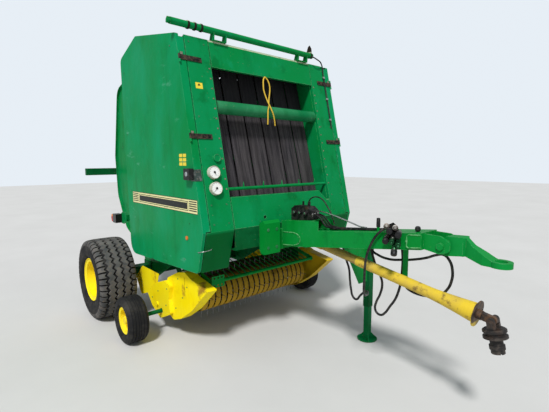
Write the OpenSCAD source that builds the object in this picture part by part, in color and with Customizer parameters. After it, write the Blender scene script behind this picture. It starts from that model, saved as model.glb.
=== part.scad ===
// Towed round baler with belts, parked on its wheels and its parking jack.
// +Z is up, the hitch points to -Y, and the machine's right-hand side is -X.
// Lengths along the machine are measured from the main axle and then shifted so that the
// origin is on the ground under the middle of the whole machine.

/* [Body] */
// Width over the side shields
body_w = 1800; // [1760:5:1800]
// Clear width between the chamber walls
chamber_w = 1200; // [1100:10:1220]
// Thickness of the chamber walls
wall_t = 8; // [5:1:10]
// Height of the front edge of the roof
roof_front_z = 2680; // [2600:10:2760]
// Height of the rear corner of the side shields
roof_rear_z = 2840; // [2780:10:2900]
// Height of the fold across the lower front
fold_z = 1124; // [1110:2:1140]
// Height of the lower edge of the side shields at the front
skirt_z = 788; // [770:2:800]
// Depth of the folded edge of a side shield
shield_t = 26; // [20:1:30]
// Thickness of a side shield's sheet
shield_skin = 4; // [3:1:6]
// Width of a side shield's folded front flange
flange_w = 66; // [60:1:70]
// Height of the lower edge of the window
window_low_z = 1380; // [1340:10:1400]
// Height of the upper edge of the window
window_top_z = 2453; // [2420:1:2480]
// Side of the square front cross beam
beam_h = 180; // [170:5:190]

/* [Running gear] */
// Overall width over the main tyres
overall_w = 2550; // [2540:5:2620]
// Radius of a main tyre
tyre_r = 425; // [415:5:430]
// Width of a main tyre
tyre_w = 380; // [360:5:385]
// Radius of a main rim's flange
rim_r = 225; // [215:1:232]
// Side of the square axle beam
axle_h = 120; // [100:5:130]
// Radius of a main spindle
spindle_r = 35; // [30:1:38]
// Radius of a gauge tyre
gauge_r = 217; // [210:1:222]
// Width of a gauge tyre
gauge_w = 190; // [170:5:195]
// Radius of a gauge rim's flange
gauge_rim_r = 125; // [115:1:132]
// Width over the gauge tyres
gauge_track = 2460; // [2450:5:2480]

/* [Tailgate] */
// Thickness of the tailgate's side sheets
gate_t = 6; // [4:1:8]
// Radius of a hydraulic cylinder
cyl_r = 35; // [30:1:40]
// Radius of a cylinder's rod
rod_r = 17.5; // [15:0.5:20]

/* [Belts] */
// Number of belts side by side
belt_n = 6; // [4:1:8]
// Gap between two belts
belt_gap = 18; // [12:1:30]
// Thickness of a belt
belt_t = 6; // [4:1:8]
// Radius of the green roller in the window
window_roller_r = 55; // [45:1:60]

/* [Pickup] */
// Radius of the stripper bands
band_r = 160; // [150:1:165]
// Distance from one tine to the next
tine_pitch = 66; // [60:1:68]
// Number of stripper bands
band_n = 20; // [16:1:20]
// Gap between two bands where the tines pass
tine_gap = 16; // [15:1:20]
// Radius of the circle of the tine tips
tine_tip_r = 232; // [215:1:235]
// Radius of a tine's wire
tine_r = 2.75; // [2:0.25:3]
// Number of tine bars
tine_bars = 4; // [3:1:5]

/* [Tongue and driveline] */
// Width of the tongue
tongue_w = 200; // [190:5:210]
// Radius of the hole in the hitch eye
eye_r = 34; // [30:1:38]
// Thickness of the hitch eye
eye_t = 34; // [30:1:40]
// Radius of the driveline's guard tube
guard_r = 38; // [34:1:40]
// Radius of the bore in the driveline's last yoke
pto_bore_r = 17.5; // [15:0.5:20]
// Side of the jack's square outer tube
jack_w = 62; // [60:1:70]
// Radius of the jack's foot
foot_r = 92; // [85:1:110]

/* [Hidden] */

green = "#0b7a33";
dark_green = "#07501f";
yellow = "#f2c80f";
rubber = "#1c1c1d";
steel = "#8d9093";
iron = "#3a3533";
white = "#e8e8e2";
red = "#b3261e";
rope_yellow = "#e3b22c";

// gap between curved faces that only touch, and around a pin in its hole
touch = 0.3;
pin_gap = 0.05;
air = 8;

// places along the machine, from the axle, and heights
axle_z = tyre_r;
roof_front_y = -1419;
roof_rear_y = -622;
chamfer_y = -219;
chamfer_z = 2704;
shield_rear_y = -272;
shield_rear_z = 716;
skirt_y = -1668;
fold_y = -1764;
wall_rear_y = -262;
half_w = body_w / 2;
wall_x = chamber_w / 2;
eye_y = -3532;
eye_z = 1080;
rear_tip_y = 905;
eye_ring_r = eye_r + 26;
front_tip_y = eye_y - eye_ring_r;
axle_y = -(front_tip_y + rear_tip_y) / 2;

// lean of the front face, and a point on it at a given height
lean = (roof_front_y - fold_y) / (roof_front_z - fold_z);
function face_y(z) = fold_y + (z - fold_z) * lean;

module at_axle() translate([0, axle_y, 0]) children();
module both_sides() { children(); mirror([1, 0, 0]) children(); }
module yz(x, t) translate([x, 0, 0]) rotate([90, 0, 90]) linear_extrude(t) children();
module rod_x(x, y, z, r, l, fn = 48) translate([x, y, z]) rotate([0, 90, 0]) cylinder(r = r, h = l, $fn = fn);

// outlines: corners rounded by an arc, an outline set in, and a belt's run round rollers
function unit(v) = v / norm(v);
function turn_between(a, b) = b - a > 180 ? b - a - 360 : b - a < -180 ? b - a + 360 : b - a;
function arc(c, r, a, turn, n) = [for (i = [0 : n]) c + r * [cos(a + turn * i / n), sin(a + turn * i / n)]];
function corner(p, q, s, r, n = 5) =
    let (u = unit(p - q), v = unit(s - q), half = acos(u * v) / 2,
         c = q + unit(u + v) * r / sin(half), a = q + u * r / tan(half) - c, b = q + v * r / tan(half) - c,
         from = atan2(a[1], a[0]), to = atan2(b[1], b[0]))
    r == 0 ? [q] : arc(c, r, from, turn_between(from, to), n);
function at(list, i) = list[(i + len(list)) % len(list)];
function rounded(pts, radii) =
    [for (i = [0 : len(pts) - 1]) each corner(at(pts, i - 1), pts[i], at(pts, i + 1), radii[i])];
function turn_at(pts, i) = let (a = pts[i] - at(pts, i - 1), b = at(pts, i + 1) - pts[i]) a[0] * b[1] - a[1] * b[0];
function inset(pts, d) =
    [for (i = [0 : len(pts) - 1])
        let (q = pts[i], u = unit(at(pts, i - 1) - q), v = unit(at(pts, i + 1) - q), half = acos(u * v) / 2)
        q + unit(u + v) * d / sin(half) * sign(turn_at(pts, i)) * sign(turn_at(pts, 1))];
function round_outside(c, r, a, turn, n) =
    [for (i = [0 : n - 1]) c + r / cos(turn / n / 2) * [cos(a + turn * (i + 0.5) / n), sin(a + turn * (i + 0.5) / n)]];
function belt_run(pts, r, n = 12) =
    [for (i = [0 : len(pts) - 1])
        let (e = at(pts, i) - at(pts, i - 1), f = at(pts, i + 1) - at(pts, i),
             from = atan2(-e[0], e[1]), to = atan2(-f[0], f[1]))
        each round_outside(pts[i], r, from, turn_between(from, to), n)];

// a round tube swept along points, as one polyhedron
function tangent(p, i) = unit(p[min(i + 1, len(p) - 1)] - p[max(i - 1, 0)]);
function ring(c, t, r, n) =
    let (a = unit(cross(t, abs(t[2]) > 0.9 ? [1, 0, 0] : [0, 0, 1])), b = cross(a, t))
    [for (k = [0 : n - 1]) c + r * (cos(360 * k / n) * a + sin(360 * k / n) * b)];
module sweep(p, r, n = 8) {
    points = [for (i = [0 : len(p) - 1]) each ring(p[i], tangent(p, i), r, n)];
    sides = [for (i = [0 : len(p) - 2]) for (k = [0 : n - 1])
        let (a = i * n + k, b = i * n + (k + 1) % n) each [[a, b, b + n], [a, b + n, a + n]]];
    polyhedron(points, concat(sides, [[for (k = [n - 1 : -1 : 0]) k]],
        [[for (k = [0 : n - 1]) (len(p) - 1) * n + k]]));
}

// Chamber walls

wall_pts = [[-1398, 2640], [-622, 2800], [-250, 2672], [-250, 2520], [wall_rear_y, 2400], [wall_rear_y, 900],
            [110, 600], [110, 330], [-150, 330], [-560, 560], [-800, 640], [-1120, 760], [-1330, 862], [-1600, 900],
            [fold_y + 30, fold_z]];
wall_radii = [40, 60, 40, 0, 0, 60, 60, 60, 40, 0, 0, 40, 60, 20, 0];
hinge = [-290, 2610];
pivot = [-700, 720];
pin_r = 20;
module side_frames() color(green) at_axle() {
    both_sides() difference() {
        yz(wall_x, wall_t) polygon(rounded(wall_pts, wall_radii));
        rod_x(wall_x - 1, hinge[0], hinge[1], pin_r + pin_gap, wall_t + 2);
        rod_x(wall_x - 1, pivot[0], pivot[1], pin_r + pin_gap, wall_t + 2);
        translate([wall_x - 1, -axle_h / 2 - touch, axle_z - axle_h / 2 - touch])
            cube([wall_t + 2, axle_h + 2 * touch, axle_h + 2 * touch]);
    }
    both_sides() rod_x(wall_x + wall_t - 1, cyl_foot[0], cyl_foot[1], cyl_pin_r, cyl_x + 25 - wall_x - wall_t + 1);
}

// Front cross beam with the two folded clamps that hold the tongue's base
beam_y = fold_y + beam_h / 2;
beam_z = fold_z - beam_h / 2;
beam_wall = 10;
clamp_in = 175;
clamp_out = 350;
clamp_low = 880;
clamp_d = 74;
clamp_t = 10;
module cross_beam() color(green) at_axle() {
    difference() {
        translate([-wall_x, beam_y - beam_h / 2, beam_z - beam_h / 2]) cube([chamber_w, beam_h, beam_h]);
        translate([-wall_x - 1, beam_y - beam_h / 2 + beam_wall, beam_z - beam_h / 2 + beam_wall])
            cube([chamber_w + 2, beam_h - 2 * beam_wall, beam_h - 2 * beam_wall]);
    }
    both_sides() difference() {
        yz(clamp_in, clamp_out - clamp_in) polygon([[fold_y - clamp_d, clamp_low], [fold_y - clamp_d, fold_z + 22],
            [fold_y - clamp_d + 22, fold_z + 46], [face_y(fold_z + 14) - touch, fold_z + 14],
            [fold_y - touch, fold_z], [fold_y, fold_z - 1], [fold_y, clamp_low + 30], [fold_y - 30, clamp_low]]);
        yz(clamp_in + clamp_t, clamp_out - clamp_in - 2 * clamp_t) polygon([
            [fold_y - clamp_d + clamp_t, clamp_low - 1], [fold_y - clamp_d + clamp_t, fold_z + 18],
            [fold_y - clamp_d + 26, fold_z + 34], [fold_y - 6, fold_z + 8], [fold_y - 6, clamp_low + 40],
            [fold_y - 30, clamp_low - 1]]);
    }
}

// Axle beam with a spindle each side
axle_end = 800;
spindle_end = overall_w / 2 - tyre_w / 2 + 55;
flange_t = 12;
module axle() color(dark_green) at_axle() {
    translate([-axle_end, -axle_h / 2, axle_z - axle_h / 2]) cube([2 * axle_end, axle_h, axle_h]);
    both_sides() {
        rod_x(axle_end, 0, axle_z, spindle_r, spindle_end - axle_end);
        rod_x(axle_end, 0, axle_z, spindle_r + 22, 40);
        translate([wall_x + wall_t, -95, axle_z - 95]) cube([flange_t, 190, 190]);
    }
}

// Folded sheet-metal posts each side of the window, open at the back
post_t = 5;
post_d = 45;
lip_d = 30;
seam = 8;
post_x = wall_x + wall_t;
post_high_x = half_w - flange_w - seam;
post_low_x = half_w - shield_t - air;
function leaning_band(d) = [[fold_y, fold_z], [roof_front_y, roof_front_z], [roof_front_y + d, roof_front_z - 12],
                            [fold_y + d, fold_z]];
function skirt_band(top, d) = let (y = skirt_y + (top - skirt_z) / (fold_z - skirt_z) * (fold_y - skirt_y))
    [[skirt_y, skirt_z], [y, top], [y + d, top], [skirt_y + d, skirt_z + 10]];
module front_strips() color(green) at_axle() both_sides() {
    yz(post_x, post_high_x - post_x) polygon(leaning_band(post_t));
    yz(post_x, post_low_x - post_x) polygon(skirt_band(fold_z, post_t));
    yz(post_x, post_t) polygon(leaning_band(post_d));
    yz(post_x, post_t) polygon(skirt_band(fold_z, post_d));
    yz(post_high_x - post_t, post_t) polygon(leaning_band(lip_d));
    yz(post_low_x - post_t, post_t) polygon(skirt_band(fold_z - 14, lip_d));
}

// Panel over the window, the one below it, and the roof sheet that runs back between the walls
panel_d = 40;
roof_t = 4;
corner_cut = 95;
function face_band(z0, z1, d) = [[face_y(z0), z0], [face_y(z1), z1], [face_y(z1) + d, z1], [face_y(z0) + d, z0]];
module folded_panel(z0, z1) difference() {
    yz(-wall_x, chamber_w) polygon(face_band(z0, z1, panel_d));
    yz(-wall_x + post_t, chamber_w - 2 * post_t)
        translate([post_t, 0]) polygon(face_band(z0 + post_t, z1 - post_t, panel_d));
}
module front_panels() color(green) at_axle() {
    folded_panel(window_top_z, roof_front_z);
    difference() {
        folded_panel(fold_z, window_low_z);
        translate([-270, face_y(1190) - 20, 1190]) rotate([-90, 0, 0]) cylinder(r = 14, h = 100, $fn = 32);
        translate([wall_x, face_y(window_low_z) - 20, window_low_z]) rotate([-90, 45, 0])
            translate([-corner_cut, -corner_cut, 0]) cube([2 * corner_cut, 2 * corner_cut, 120]);
    }
    yz(-wall_x, chamber_w) polygon([
        [roof_front_y + panel_d, roof_front_z - roof_t], [roof_front_y + panel_d, roof_front_z],
        [-640, roof_rear_z - 46], [-560, roof_rear_z - 58], [-560, roof_rear_z - 100],
        [-560 - roof_t, roof_rear_z - 100], [-560 - roof_t, roof_rear_z - 61], [-641, roof_rear_z - 46 - roof_t]]);
}

// Strap hinges of the side shields, on the face of the posts
hinge_heights = [1870, 2490];
lean_a = atan(lean);
knuckle_r = 8;
hinge_pin_r = 4;
hinge_out = 10;
hinge_x = half_w - 4;
strap_h = 40;
strap_len = 200;
module on_face(z) translate([0, face_y(z), z]) rotate([-lean_a, 0, 0]) children();
module shield_hinges() color(iron) at_axle() both_sides()
    for (z = hinge_heights) on_face(z) difference() {
        union() {
            translate([hinge_x - strap_len, -7, -strap_h / 2]) cube([post_high_x - hinge_x + strap_len, 7, strap_h]);
            translate([hinge_x - strap_len + 20, -7.5, -strap_h / 2]) cube([strap_len - 30, 6, strap_h]);
            translate([hinge_x - knuckle_r - 6, -hinge_out, -strap_h / 2]) cube([knuckle_r + 4, 5, strap_h]);
            for (x = [strap_len - 24, strap_len - 78]) translate([hinge_x - x, -7, 0]) rotate([90, 0, 0])
                cylinder(r = 9, h = 7, $fn = 6);
            translate([hinge_x, -hinge_out, -strap_h / 2]) cylinder(r = knuckle_r, h = strap_h, $fn = 32);
        }
        translate([hinge_x, -hinge_out, -strap_h]) cylinder(r = hinge_pin_r + pin_gap, h = 2 * strap_h, $fn = 32);
    }
module shield_knuckles() for (z = hinge_heights) on_face(z) {
    translate([hinge_x, -hinge_out, -strap_h]) cylinder(r = hinge_pin_r, h = 2 * strap_h, $fn = 32);
    for (s = [-1, 1]) translate([0, 0, s * (strap_h / 2 + 14) - 12]) {
        translate([hinge_x, -hinge_out, 0]) cylinder(r = knuckle_r, h = 24, $fn = 32);
        translate([hinge_x - 4, -hinge_out, 0]) cube([8, hinge_out + 3, 24]);
    }
}

// Tube along the front edge of the roof, with its collars, lobed crank, brackets and stop lever
top_tube_r = 27;
top_tube_y = roof_front_y - 10;
top_tube_z = roof_front_z + 78;
crank_x = -948;
lever_x = 612;
module top_tube() color(green) at_axle() {
    rod_x(crank_x, top_tube_y, top_tube_z, top_tube_r, lever_x + 30 - crank_x);
    for (x = [-800, -740, -680]) rod_x(x, top_tube_y, top_tube_z, top_tube_r + 6, 14);
    rod_x(crank_x - 24, top_tube_y, top_tube_z, 15, 26, 32);
    for (a = [90, 210, 330]) rod_x(crank_x - 20, top_tube_y + 16 * cos(a), top_tube_z + 16 * sin(a), 11, 22, 24);
    yz(lever_x, 12) polygon([[top_tube_y - 26, top_tube_z - 10], [top_tube_y - 16, top_tube_z + 70],
        [top_tube_y + 6, top_tube_z + 104], [top_tube_y + 26, top_tube_z + 86], [top_tube_y + 60, top_tube_z - 6],
        [top_tube_y + 20, top_tube_z - 24]]);
    both_sides() for (x = [wall_x - 46, wall_x - 168]) yz(x, 10)
        polygon([[top_tube_y - 16, roof_front_z + touch], [top_tube_y - 24, top_tube_z], [top_tube_y + 24, top_tube_z],
                 [top_tube_y + 50, roof_front_z + 6], [top_tube_y + 50, roof_front_z + touch]]);
    both_sides() translate([wall_x - 168, top_tube_y - 16, roof_front_z + touch]) cube([132, 66, 7]);
}

// Rollers
window_roller_z = 2128;
window_roller_y = face_y(window_roller_z) + window_roller_r;
module window_roller() color(green) at_axle() {
    rod_x(-wall_x + 10, window_roller_y, window_roller_z, window_roller_r, chamber_w - 20, 64);
    rod_x(-wall_x, window_roller_y, window_roller_z, 18, chamber_w);
}
belt_roller_r = 55;
front_run = [[-1190, 2510], [-1530, 1240], [-860, 2400]];
gate_run = [[-110, 2440], [180, 830], [600, 1160], [690, 1700], [470, 2360]];
starter = [-1215, 900];
starter_r = 100;
floor_roller = [-640, 860];
module roller_at(p, r) {
    rod_x(-wall_x + 10, p[0], p[1], r, chamber_w - 20, 64);
    rod_x(-wall_x, p[0], p[1], 20, chamber_w);
}
module chamber_rollers() color(iron) at_axle() {
    for (p = front_run) roller_at(p, belt_roller_r);
    roller_at(starter, starter_r);
    for (a = [0 : 30 : 330]) translate([0, starter[0], starter[1]]) rotate([a, 0, 0])
        translate([-wall_x + 20, -4, starter_r - 3]) cube([chamber_w - 40, 8, 11]);
    roller_at(floor_roller, 110);
}

// Belts side by side round a set of rollers
belt_area = chamber_w - 30;
belt_w = (belt_area - (belt_n - 1) * belt_gap) / belt_n;
module belts(run)
    for (i = [0 : belt_n - 1])
        yz(-belt_area / 2 + i * (belt_w + belt_gap), belt_w)
            difference() {
                polygon(belt_run(run, belt_roller_r + touch + belt_t));
                polygon(belt_run(run, belt_roller_r + touch));
            }
module front_belts() color(rubber) at_axle() belts(front_run);

// Bar with guide fingers behind the lower window
guide_y = -1665;
guide_z = 1446;
module belt_guide() color(iron) at_axle() {
    rod_x(-wall_x, guide_y, guide_z, 14, chamber_w);
    for (i = [0 : 4]) translate([-440 + 220 * i, guide_y - 4, guide_z])
        rotate([90, 0, 90]) linear_extrude(6) polygon([[-10, 0], [14, 0], [2, 55]]);
}

// Two dial gauges with their bezels, and a port, on the right-hand post
gauge_dial_r = 34;
module gauges() color(white) at_axle() {
    for (z = [1583, 1457]) on_face(z) translate([-737, -touch, 0]) rotate([90, 0, 0]) difference() {
        union() {
            cylinder(r = gauge_dial_r - 4, h = 26, $fn = 48);
            translate([0, 0, 14]) cylinder(r = gauge_dial_r, h = 14, $fn = 48);
        }
        translate([0, 0, 24]) cylinder(r = gauge_dial_r - 4, h = 5, $fn = 48);
    }
    on_face(1698) translate([-675, -touch, 0]) rotate([90, 0, 0]) cylinder(r = 16, h = 14, $fn = 32);
}

// Tongue: a closed box in front, two rails behind with the driveline between them, and the
// open-topped housing over the gearbox
tongue_front_y = -3100;
tongue_low = 906;
tongue_high = 1055;
tongue_front_low = 1103;
tongue_front_high = 1213;
tongue_half = tongue_w / 2;
rail_t = 42;
box_from_y = -2480;
base_t = 24;
housing_rear_y = -1776;
housing_front_y = -2214;
housing_deck_y = -2110;
housing_t = 8;
deck_t = 6;
function low_z(y) = tongue_low + (y - fold_y) / (tongue_front_y - fold_y) * (tongue_front_low - tongue_low);
function high_z(y) = tongue_high + (y - fold_y) / (tongue_front_y - fold_y) * (tongue_front_high - tongue_high);
function housing_z(y) = 1146 + (housing_rear_y - y) / (housing_rear_y - housing_front_y) * 40;
module tongue_side(y0, y1) polygon([[y0, low_z(y0)], [y1, low_z(y1)], [y1, high_z(y1)], [y0, high_z(y0)]]);
jack_x = 550;
jack_y = -2260;
holder = [42, -2930, 820];
module tongue() color(green) at_axle() {
    both_sides() yz(tongue_half - rail_t, rail_t) tongue_side(box_from_y, fold_y);
    yz(-tongue_half, tongue_w) tongue_side(tongue_front_y, box_from_y);
    translate([-clamp_in, fold_y - base_t, clamp_low + 10]) cube([2 * clamp_in, base_t, 185]);
    both_sides() yz(tongue_half - 1, 5) polygon(rounded([[fold_y - base_t, 925], [fold_y - base_t, 1045],
        [-1960, 1056], [-2015, 1003], [-1960, 948]], [0, 0, 40, 24, 40]));
    both_sides() yz(tongue_half - 1, 6) polygon(rounded([[-2990, low_z(-2990) + 10], [-2990, high_z(-2990) - 8],
        [tongue_front_y, high_z(tongue_front_y) - 8], [tongue_front_y, low_z(tongue_front_y) + 10]], [14, 14, 0, 0]));
    both_sides() yz(tongue_half - housing_t, housing_t) polygon([[housing_rear_y, high_z(housing_rear_y) - 2],
        [housing_front_y, high_z(housing_front_y) - 2], [housing_front_y, housing_z(housing_front_y)],
        [housing_rear_y, housing_z(housing_rear_y)]]);
    yz(-tongue_half, tongue_w) polygon([[housing_rear_y, housing_z(housing_rear_y) - deck_t],
        [housing_deck_y, housing_z(housing_deck_y) - deck_t], [housing_deck_y, housing_z(housing_deck_y)],
        [housing_rear_y, housing_z(housing_rear_y)]]);
    translate([-40, -2740, high_z(-2740) - 3]) cylinder(r = 11, h = 98, $fn = 24);
    translate([-30, -3035, high_z(-3035) - 3]) {
        cylinder(r = 7, h = 18, $fn = 20);
        translate([0, 0, 22]) sphere(r = 14, $fn = 24);
    }
    translate([holder[0], holder[1], holder[2]]) cube([10, 36, low_z(holder[1]) - holder[2] + 3]);
    translate([holder[0], holder[1], holder[2]]) cube([24, 36, 8]);
    translate([tongue_half - 1, jack_y - 40, low_z(jack_y) + 4]) cube([jack_x - jack_w / 2 - tongue_half + 1, 80, 72]);
    translate([0, jack_y - 5, 0]) rotate([90, 0, 0]) mirror([0, 0, 1]) linear_extrude(10)
        polygon([[150, low_z(jack_y) + 5], [280, 776], [404, 566], [jack_x - jack_w / 2, 566],
                 [jack_x - jack_w / 2, low_z(jack_y) + 5]]);
}

// Hitch arm with its ring eye, clamped by toothed discs between two cheeks on the tongue
pivot_y = -3212;
pivot_z = 1142;
arm_half = 46;
disc_t = 16;
disc_r = 52;
disc_teeth = 24;
cheek_t = 14;
disc_pts = [for (i = [0 : 2 * disc_teeth - 1])
    (disc_r - 5 * (i % 2)) * [cos(180 * i / disc_teeth), sin(180 * i / disc_teeth)]];
module hitch_arm() color(green) at_axle() {
    difference() {
        union() {
            yz(-arm_half, 2 * arm_half) polygon(rounded([[-3163, 1086], [-3173, 1172], [-3234, 1205], [-3336, 1211],
                [-3380, 1163], [-3470, 1112], [-3500, 1097], [-3500, 1063], [-3440, 1064], [-3330, 1096],
                [-3240, 1082]], [14, 24, 16, 30, 20, 20, 0, 0, 20, 40, 20]));
            translate([0, eye_y, eye_z - eye_t / 2]) cylinder(r = eye_ring_r, h = eye_t, $fn = 64);
        }
        translate([0, eye_y, eye_z - eye_t]) cylinder(r = eye_r, h = 2 * eye_t, $fn = 64);
        both_sides() translate([20, -3340, 1000]) rotate([0, 0, 14]) translate([0, -300, 0]) cube([100, 300, 300]);
    }
    both_sides() {
        translate([arm_half - 1, pivot_y, pivot_z]) rotate([90, 0, 90]) linear_extrude(disc_t + 1) polygon(disc_pts);
        yz(arm_half + disc_t, cheek_t) polygon(rounded([[tongue_front_y, 1108], [tongue_front_y, 1208], [-3210, 1206],
            [-3270, 1170], [-3270, 1112], [-3200, 1092]], [0, 0, 30, 30, 30, 20]));
        rod_x(arm_half + disc_t + cheek_t - 1, pivot_y, pivot_z, 24, 15, 6);
    }
}

// Gearbox between the rails, and its housing on top
gear_front_y = -2040;
gear_rear_y = -1845;
gear_z = 985;
gear_top_z = 1140;
module gearbox() color(green) at_axle() {
    yz(-tongue_half + housing_t + touch, tongue_w - 2 * housing_t - 2 * touch)
        polygon([[gear_front_y, high_z(gear_front_y) + touch], [gear_rear_y, high_z(gear_rear_y) + touch],
                 [gear_rear_y, gear_top_z], [gear_front_y, gear_top_z]]);
    translate([-55, gear_front_y, 930]) cube([110, gear_rear_y - gear_front_y, 175]);
    translate([0, gear_front_y + 1, gear_z]) rotate([90, 0, 0]) cylinder(r = 20, h = 20, $fn = 32);
    difference() {
        translate([-15, pto_y - 22, gear_z - 22]) cube([30, gear_front_y - pto_y + 12, 44]);
        rod_x(-16, pto_y, gear_z, pto_pin_r + pin_gap, 32);
    }
}

// Hydraulic valve block on the housing, with its spools, levers and the pipes along the tongue
valve_front_y = -2088;
valve_rear_y = -1850;
pipe_r = 7;
module pipe(x) sweep([[x, valve_front_y + 4, 1222], [x, valve_front_y - 30, 1222], [x, -2160, 1212],
    [x, -2235, high_z(-2235) + pipe_r + touch + 22], [x, -2330, high_z(-2330) + pipe_r + touch + 2],
    [x, -2700, high_z(-2700) + pipe_r + touch]], pipe_r);
module valve_block() color(iron) at_axle() {
    yz(-50, 100) polygon([[valve_front_y, housing_z(valve_front_y) + touch],
        [valve_rear_y, housing_z(valve_rear_y) + touch], [valve_rear_y, 1258], [-1890, 1286], [-2040, 1286],
        [valve_front_y, 1252]]);
    for (y = [-1905, -1970, -2035]) rod_x(-72, y, 1232, 17, 144, 28);
    for (y = [-1930, -2005]) translate([20, y, 1280]) cylinder(r = 9, h = 42, $fn = 20);
    for (x = [-28, 4, 34]) pipe(x);
}

// Parking jack: the square outer tube on its arm and the leg that slides in it
jack_low = 320;
jack_wall = 5;
jack_leg_w = jack_w - 2 * jack_wall - 2 * touch;
jack_top = 1050;
module square_tube(w, z0, h) translate([-w / 2, -w / 2, z0]) cube([w, w, h]);
module jack_tube() color(dark_green) at_axle() translate([jack_x, jack_y, 0]) difference() {
    square_tube(jack_w, jack_low, jack_top - jack_low);
    square_tube(jack_w - 2 * jack_wall, jack_low - 1, jack_top - jack_low - 7);
}
module jack_leg() color(dark_green) at_axle() translate([jack_x, jack_y, 0]) {
    square_tube(jack_leg_w, 0, 650);
    cylinder(r = foot_r, h = 8, $fn = 48);
    for (a = [0 : 90 : 270]) rotate([0, 0, a + 45]) translate([0, 4, 0]) rotate([90, 0, 0]) linear_extrude(8)
        polygon([[0, 4], [foot_r - 8, 4], [foot_r - 8, 14], [jack_leg_w / 2 + 4, 70], [0, 70]]);
}

// Rope loop that hangs over the roller, and the hoses on the tongue
rope_r = 7;
rope_pts = [[-72, -1560, 2008], [-70, -1560, 2060], [-66, -1556, 2100], [-58, -1549, 2135], [-46, -1544, 2170],
            [-30, -1526, 2210], [-14, -1510, 2250], [0, -1501, 2290], [8, -1497, 2325], [9, -1494, 2365],
            [0, -1488, 2405], [-18, -1479, 2437], [-32, -1474, 2447], [-46, -1479, 2438], [-64, -1490, 2410],
            [-74, -1502, 2370], [-77, -1509, 2330], [-72, -1518, 2290], [-62, -1528, 2250], [-54, -1542, 2212],
            [-46, -1562, 2172], [-34, -1573, 2135], [-18, -1575, 2100], [0, -1571, 2050], [12, -1565, 2000]];
module tie_rope() color(rope_yellow) at_axle() sweep(rope_pts, rope_r);
hose_r = 9;
slope = atan((tongue_front_low - tongue_low) / (fold_y - tongue_front_y));
function under(x, y, d = 0) = [x, y - d * sin(slope), low_z(y) - touch - d * cos(slope)];
hose_side_pts = [[-60, -2880, high_z(-2880) + hose_r + touch], [-90, -2866, 1226], [-118, -2836, 1208],
                 [-134, -2790, 1160], [-140, -2750, 1090], [-142, -2720, 1010], [-142, -2706, 920], [-138, -2700, 820],
                 [-112, -2680, 730], [-60, -2650, 680], [0, -2622, 655], [50, -2600, 648], [90, -2566, 648],
                 [108, -2530, 628], [112, -2488, 588], [110, -2450, 546], [108, -2420, 560], [106, -2400, 620],
                 [104, -2388, 700], [100, -2380, 790], [88, -2357, 870], under(79, -2330, 50), under(79, -2330)];
hose_loop_pts = [under(80, -2600), under(80, -2600, 45), [82, -2628, 920], [84, -2652, 858], [84, -2690, 800],
                 [84, -2706, 745], [84, -2690, 660], [82, -2660, 590], [80, -2652, 535], [80, -2672, 505],
                 [80, -2705, 500], [80, -2740, 528], [80, -2780, 590], [80, -2818, 650], [80, -2845, 720],
                 [80, -2862, 800], [80, -2870, 900], [80, -2870, 975], under(80, -2859, 45), under(80, -2859)];
hose_front_pts = [under(30, -2640), under(30, -2640, 30), [38, -2692, 975], [50, -2775, 957],
                  [62, -2875, 968], [72, -2966, 987], [78, -3050, 1014], [84, -3110, 1042], [90, -3160, 1052],
                  [92, -3196, 1024], [92, -3220, 960], [92, -3216, 880], [90, -3192, 822], [86, -3150, 776],
                  [82, -3098, 756], [80, -3044, 744], [76, -2995, 744], [65, -2950, 757], [57, -2922, 776],
                  [holder[0] + 12, holder[1] + 18, holder[2] - 22],
                  [holder[0] + 12, holder[1] + 18, holder[2] - touch]];
module hose_side() color(rubber) at_axle() sweep(hose_side_pts, hose_r);
module hose_loop() color(rubber) at_axle() sweep(hose_loop_pts, hose_r);
module hose_front() color(rubber) at_axle() sweep(hose_front_pts, hose_r);

// Main wheels
wheel_mid = overall_w / 2 - tyre_w / 2;
bead_r = rim_r - 22;
rim_half = tyre_w / 2 - 28;
module right_side(x) translate([-x, 0, 0]) rotate([0, -90, 0]) children();
module left_side(x) translate([x, 0, 0]) rotate([0, 90, 0]) children();
// section of a tyre: radius first, then the place across it
function tyre_pts(r, w, bead, flange, half) = rounded(
    [[bead, -half + 15], [flange + 6, -half + 8], [flange + 40, -w / 2], [r - 60, -w / 2], [r - 8, -w / 2 + 30],
     [r, -w / 4], [r, w / 4], [r - 8, w / 2 - 30], [r - 60, w / 2], [flange + 40, w / 2], [flange + 6, half - 8],
     [bead, half - 15]], [0, 0, 18, 18, 14, 30, 30, 14, 18, 18, 0, 0]);
module tyre() rotate_extrude($fn = 72) polygon(tyre_pts(tyre_r, tyre_w, bead_r + touch, rim_r, rim_half));
hub_r = 75;
hub_len = 150;
module rim() difference() {
    rotate_extrude($fn = 64) polygon([
        [spindle_r + pin_gap, -hub_len / 2], [hub_r, -hub_len / 2], [hub_r, -8], [bead_r - 12, -8],
        [bead_r - 12, -rim_half + 8], [rim_r - 6, -rim_half + 4], [rim_r, -rim_half - 6], [rim_r + 4, -rim_half - 4],
        [rim_r + 2, -rim_half + 8], [bead_r, -rim_half + 14], [bead_r, rim_half - 14], [rim_r + 2, rim_half - 8],
        [rim_r + 4, rim_half + 4], [rim_r, rim_half + 6], [rim_r - 6, rim_half - 4], [bead_r - 12, rim_half - 8],
        [bead_r - 12, 8], [hub_r, 8], [hub_r - 8, hub_len / 2 + 10], [0, hub_len / 2 + 10], [0, hub_len / 2],
        [spindle_r + pin_gap, hub_len / 2]]);
}
module right_tyre() color(rubber) at_axle() translate([0, 0, axle_z]) right_side(wheel_mid) tyre();
module right_rim() color(yellow) at_axle() translate([0, 0, axle_z]) right_side(wheel_mid) rim();
module left_tyre() color(rubber) at_axle() translate([0, 0, axle_z]) left_side(wheel_mid) tyre();
module left_rim() color(yellow) at_axle() translate([0, 0, axle_z]) left_side(wheel_mid) rim();

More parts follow.
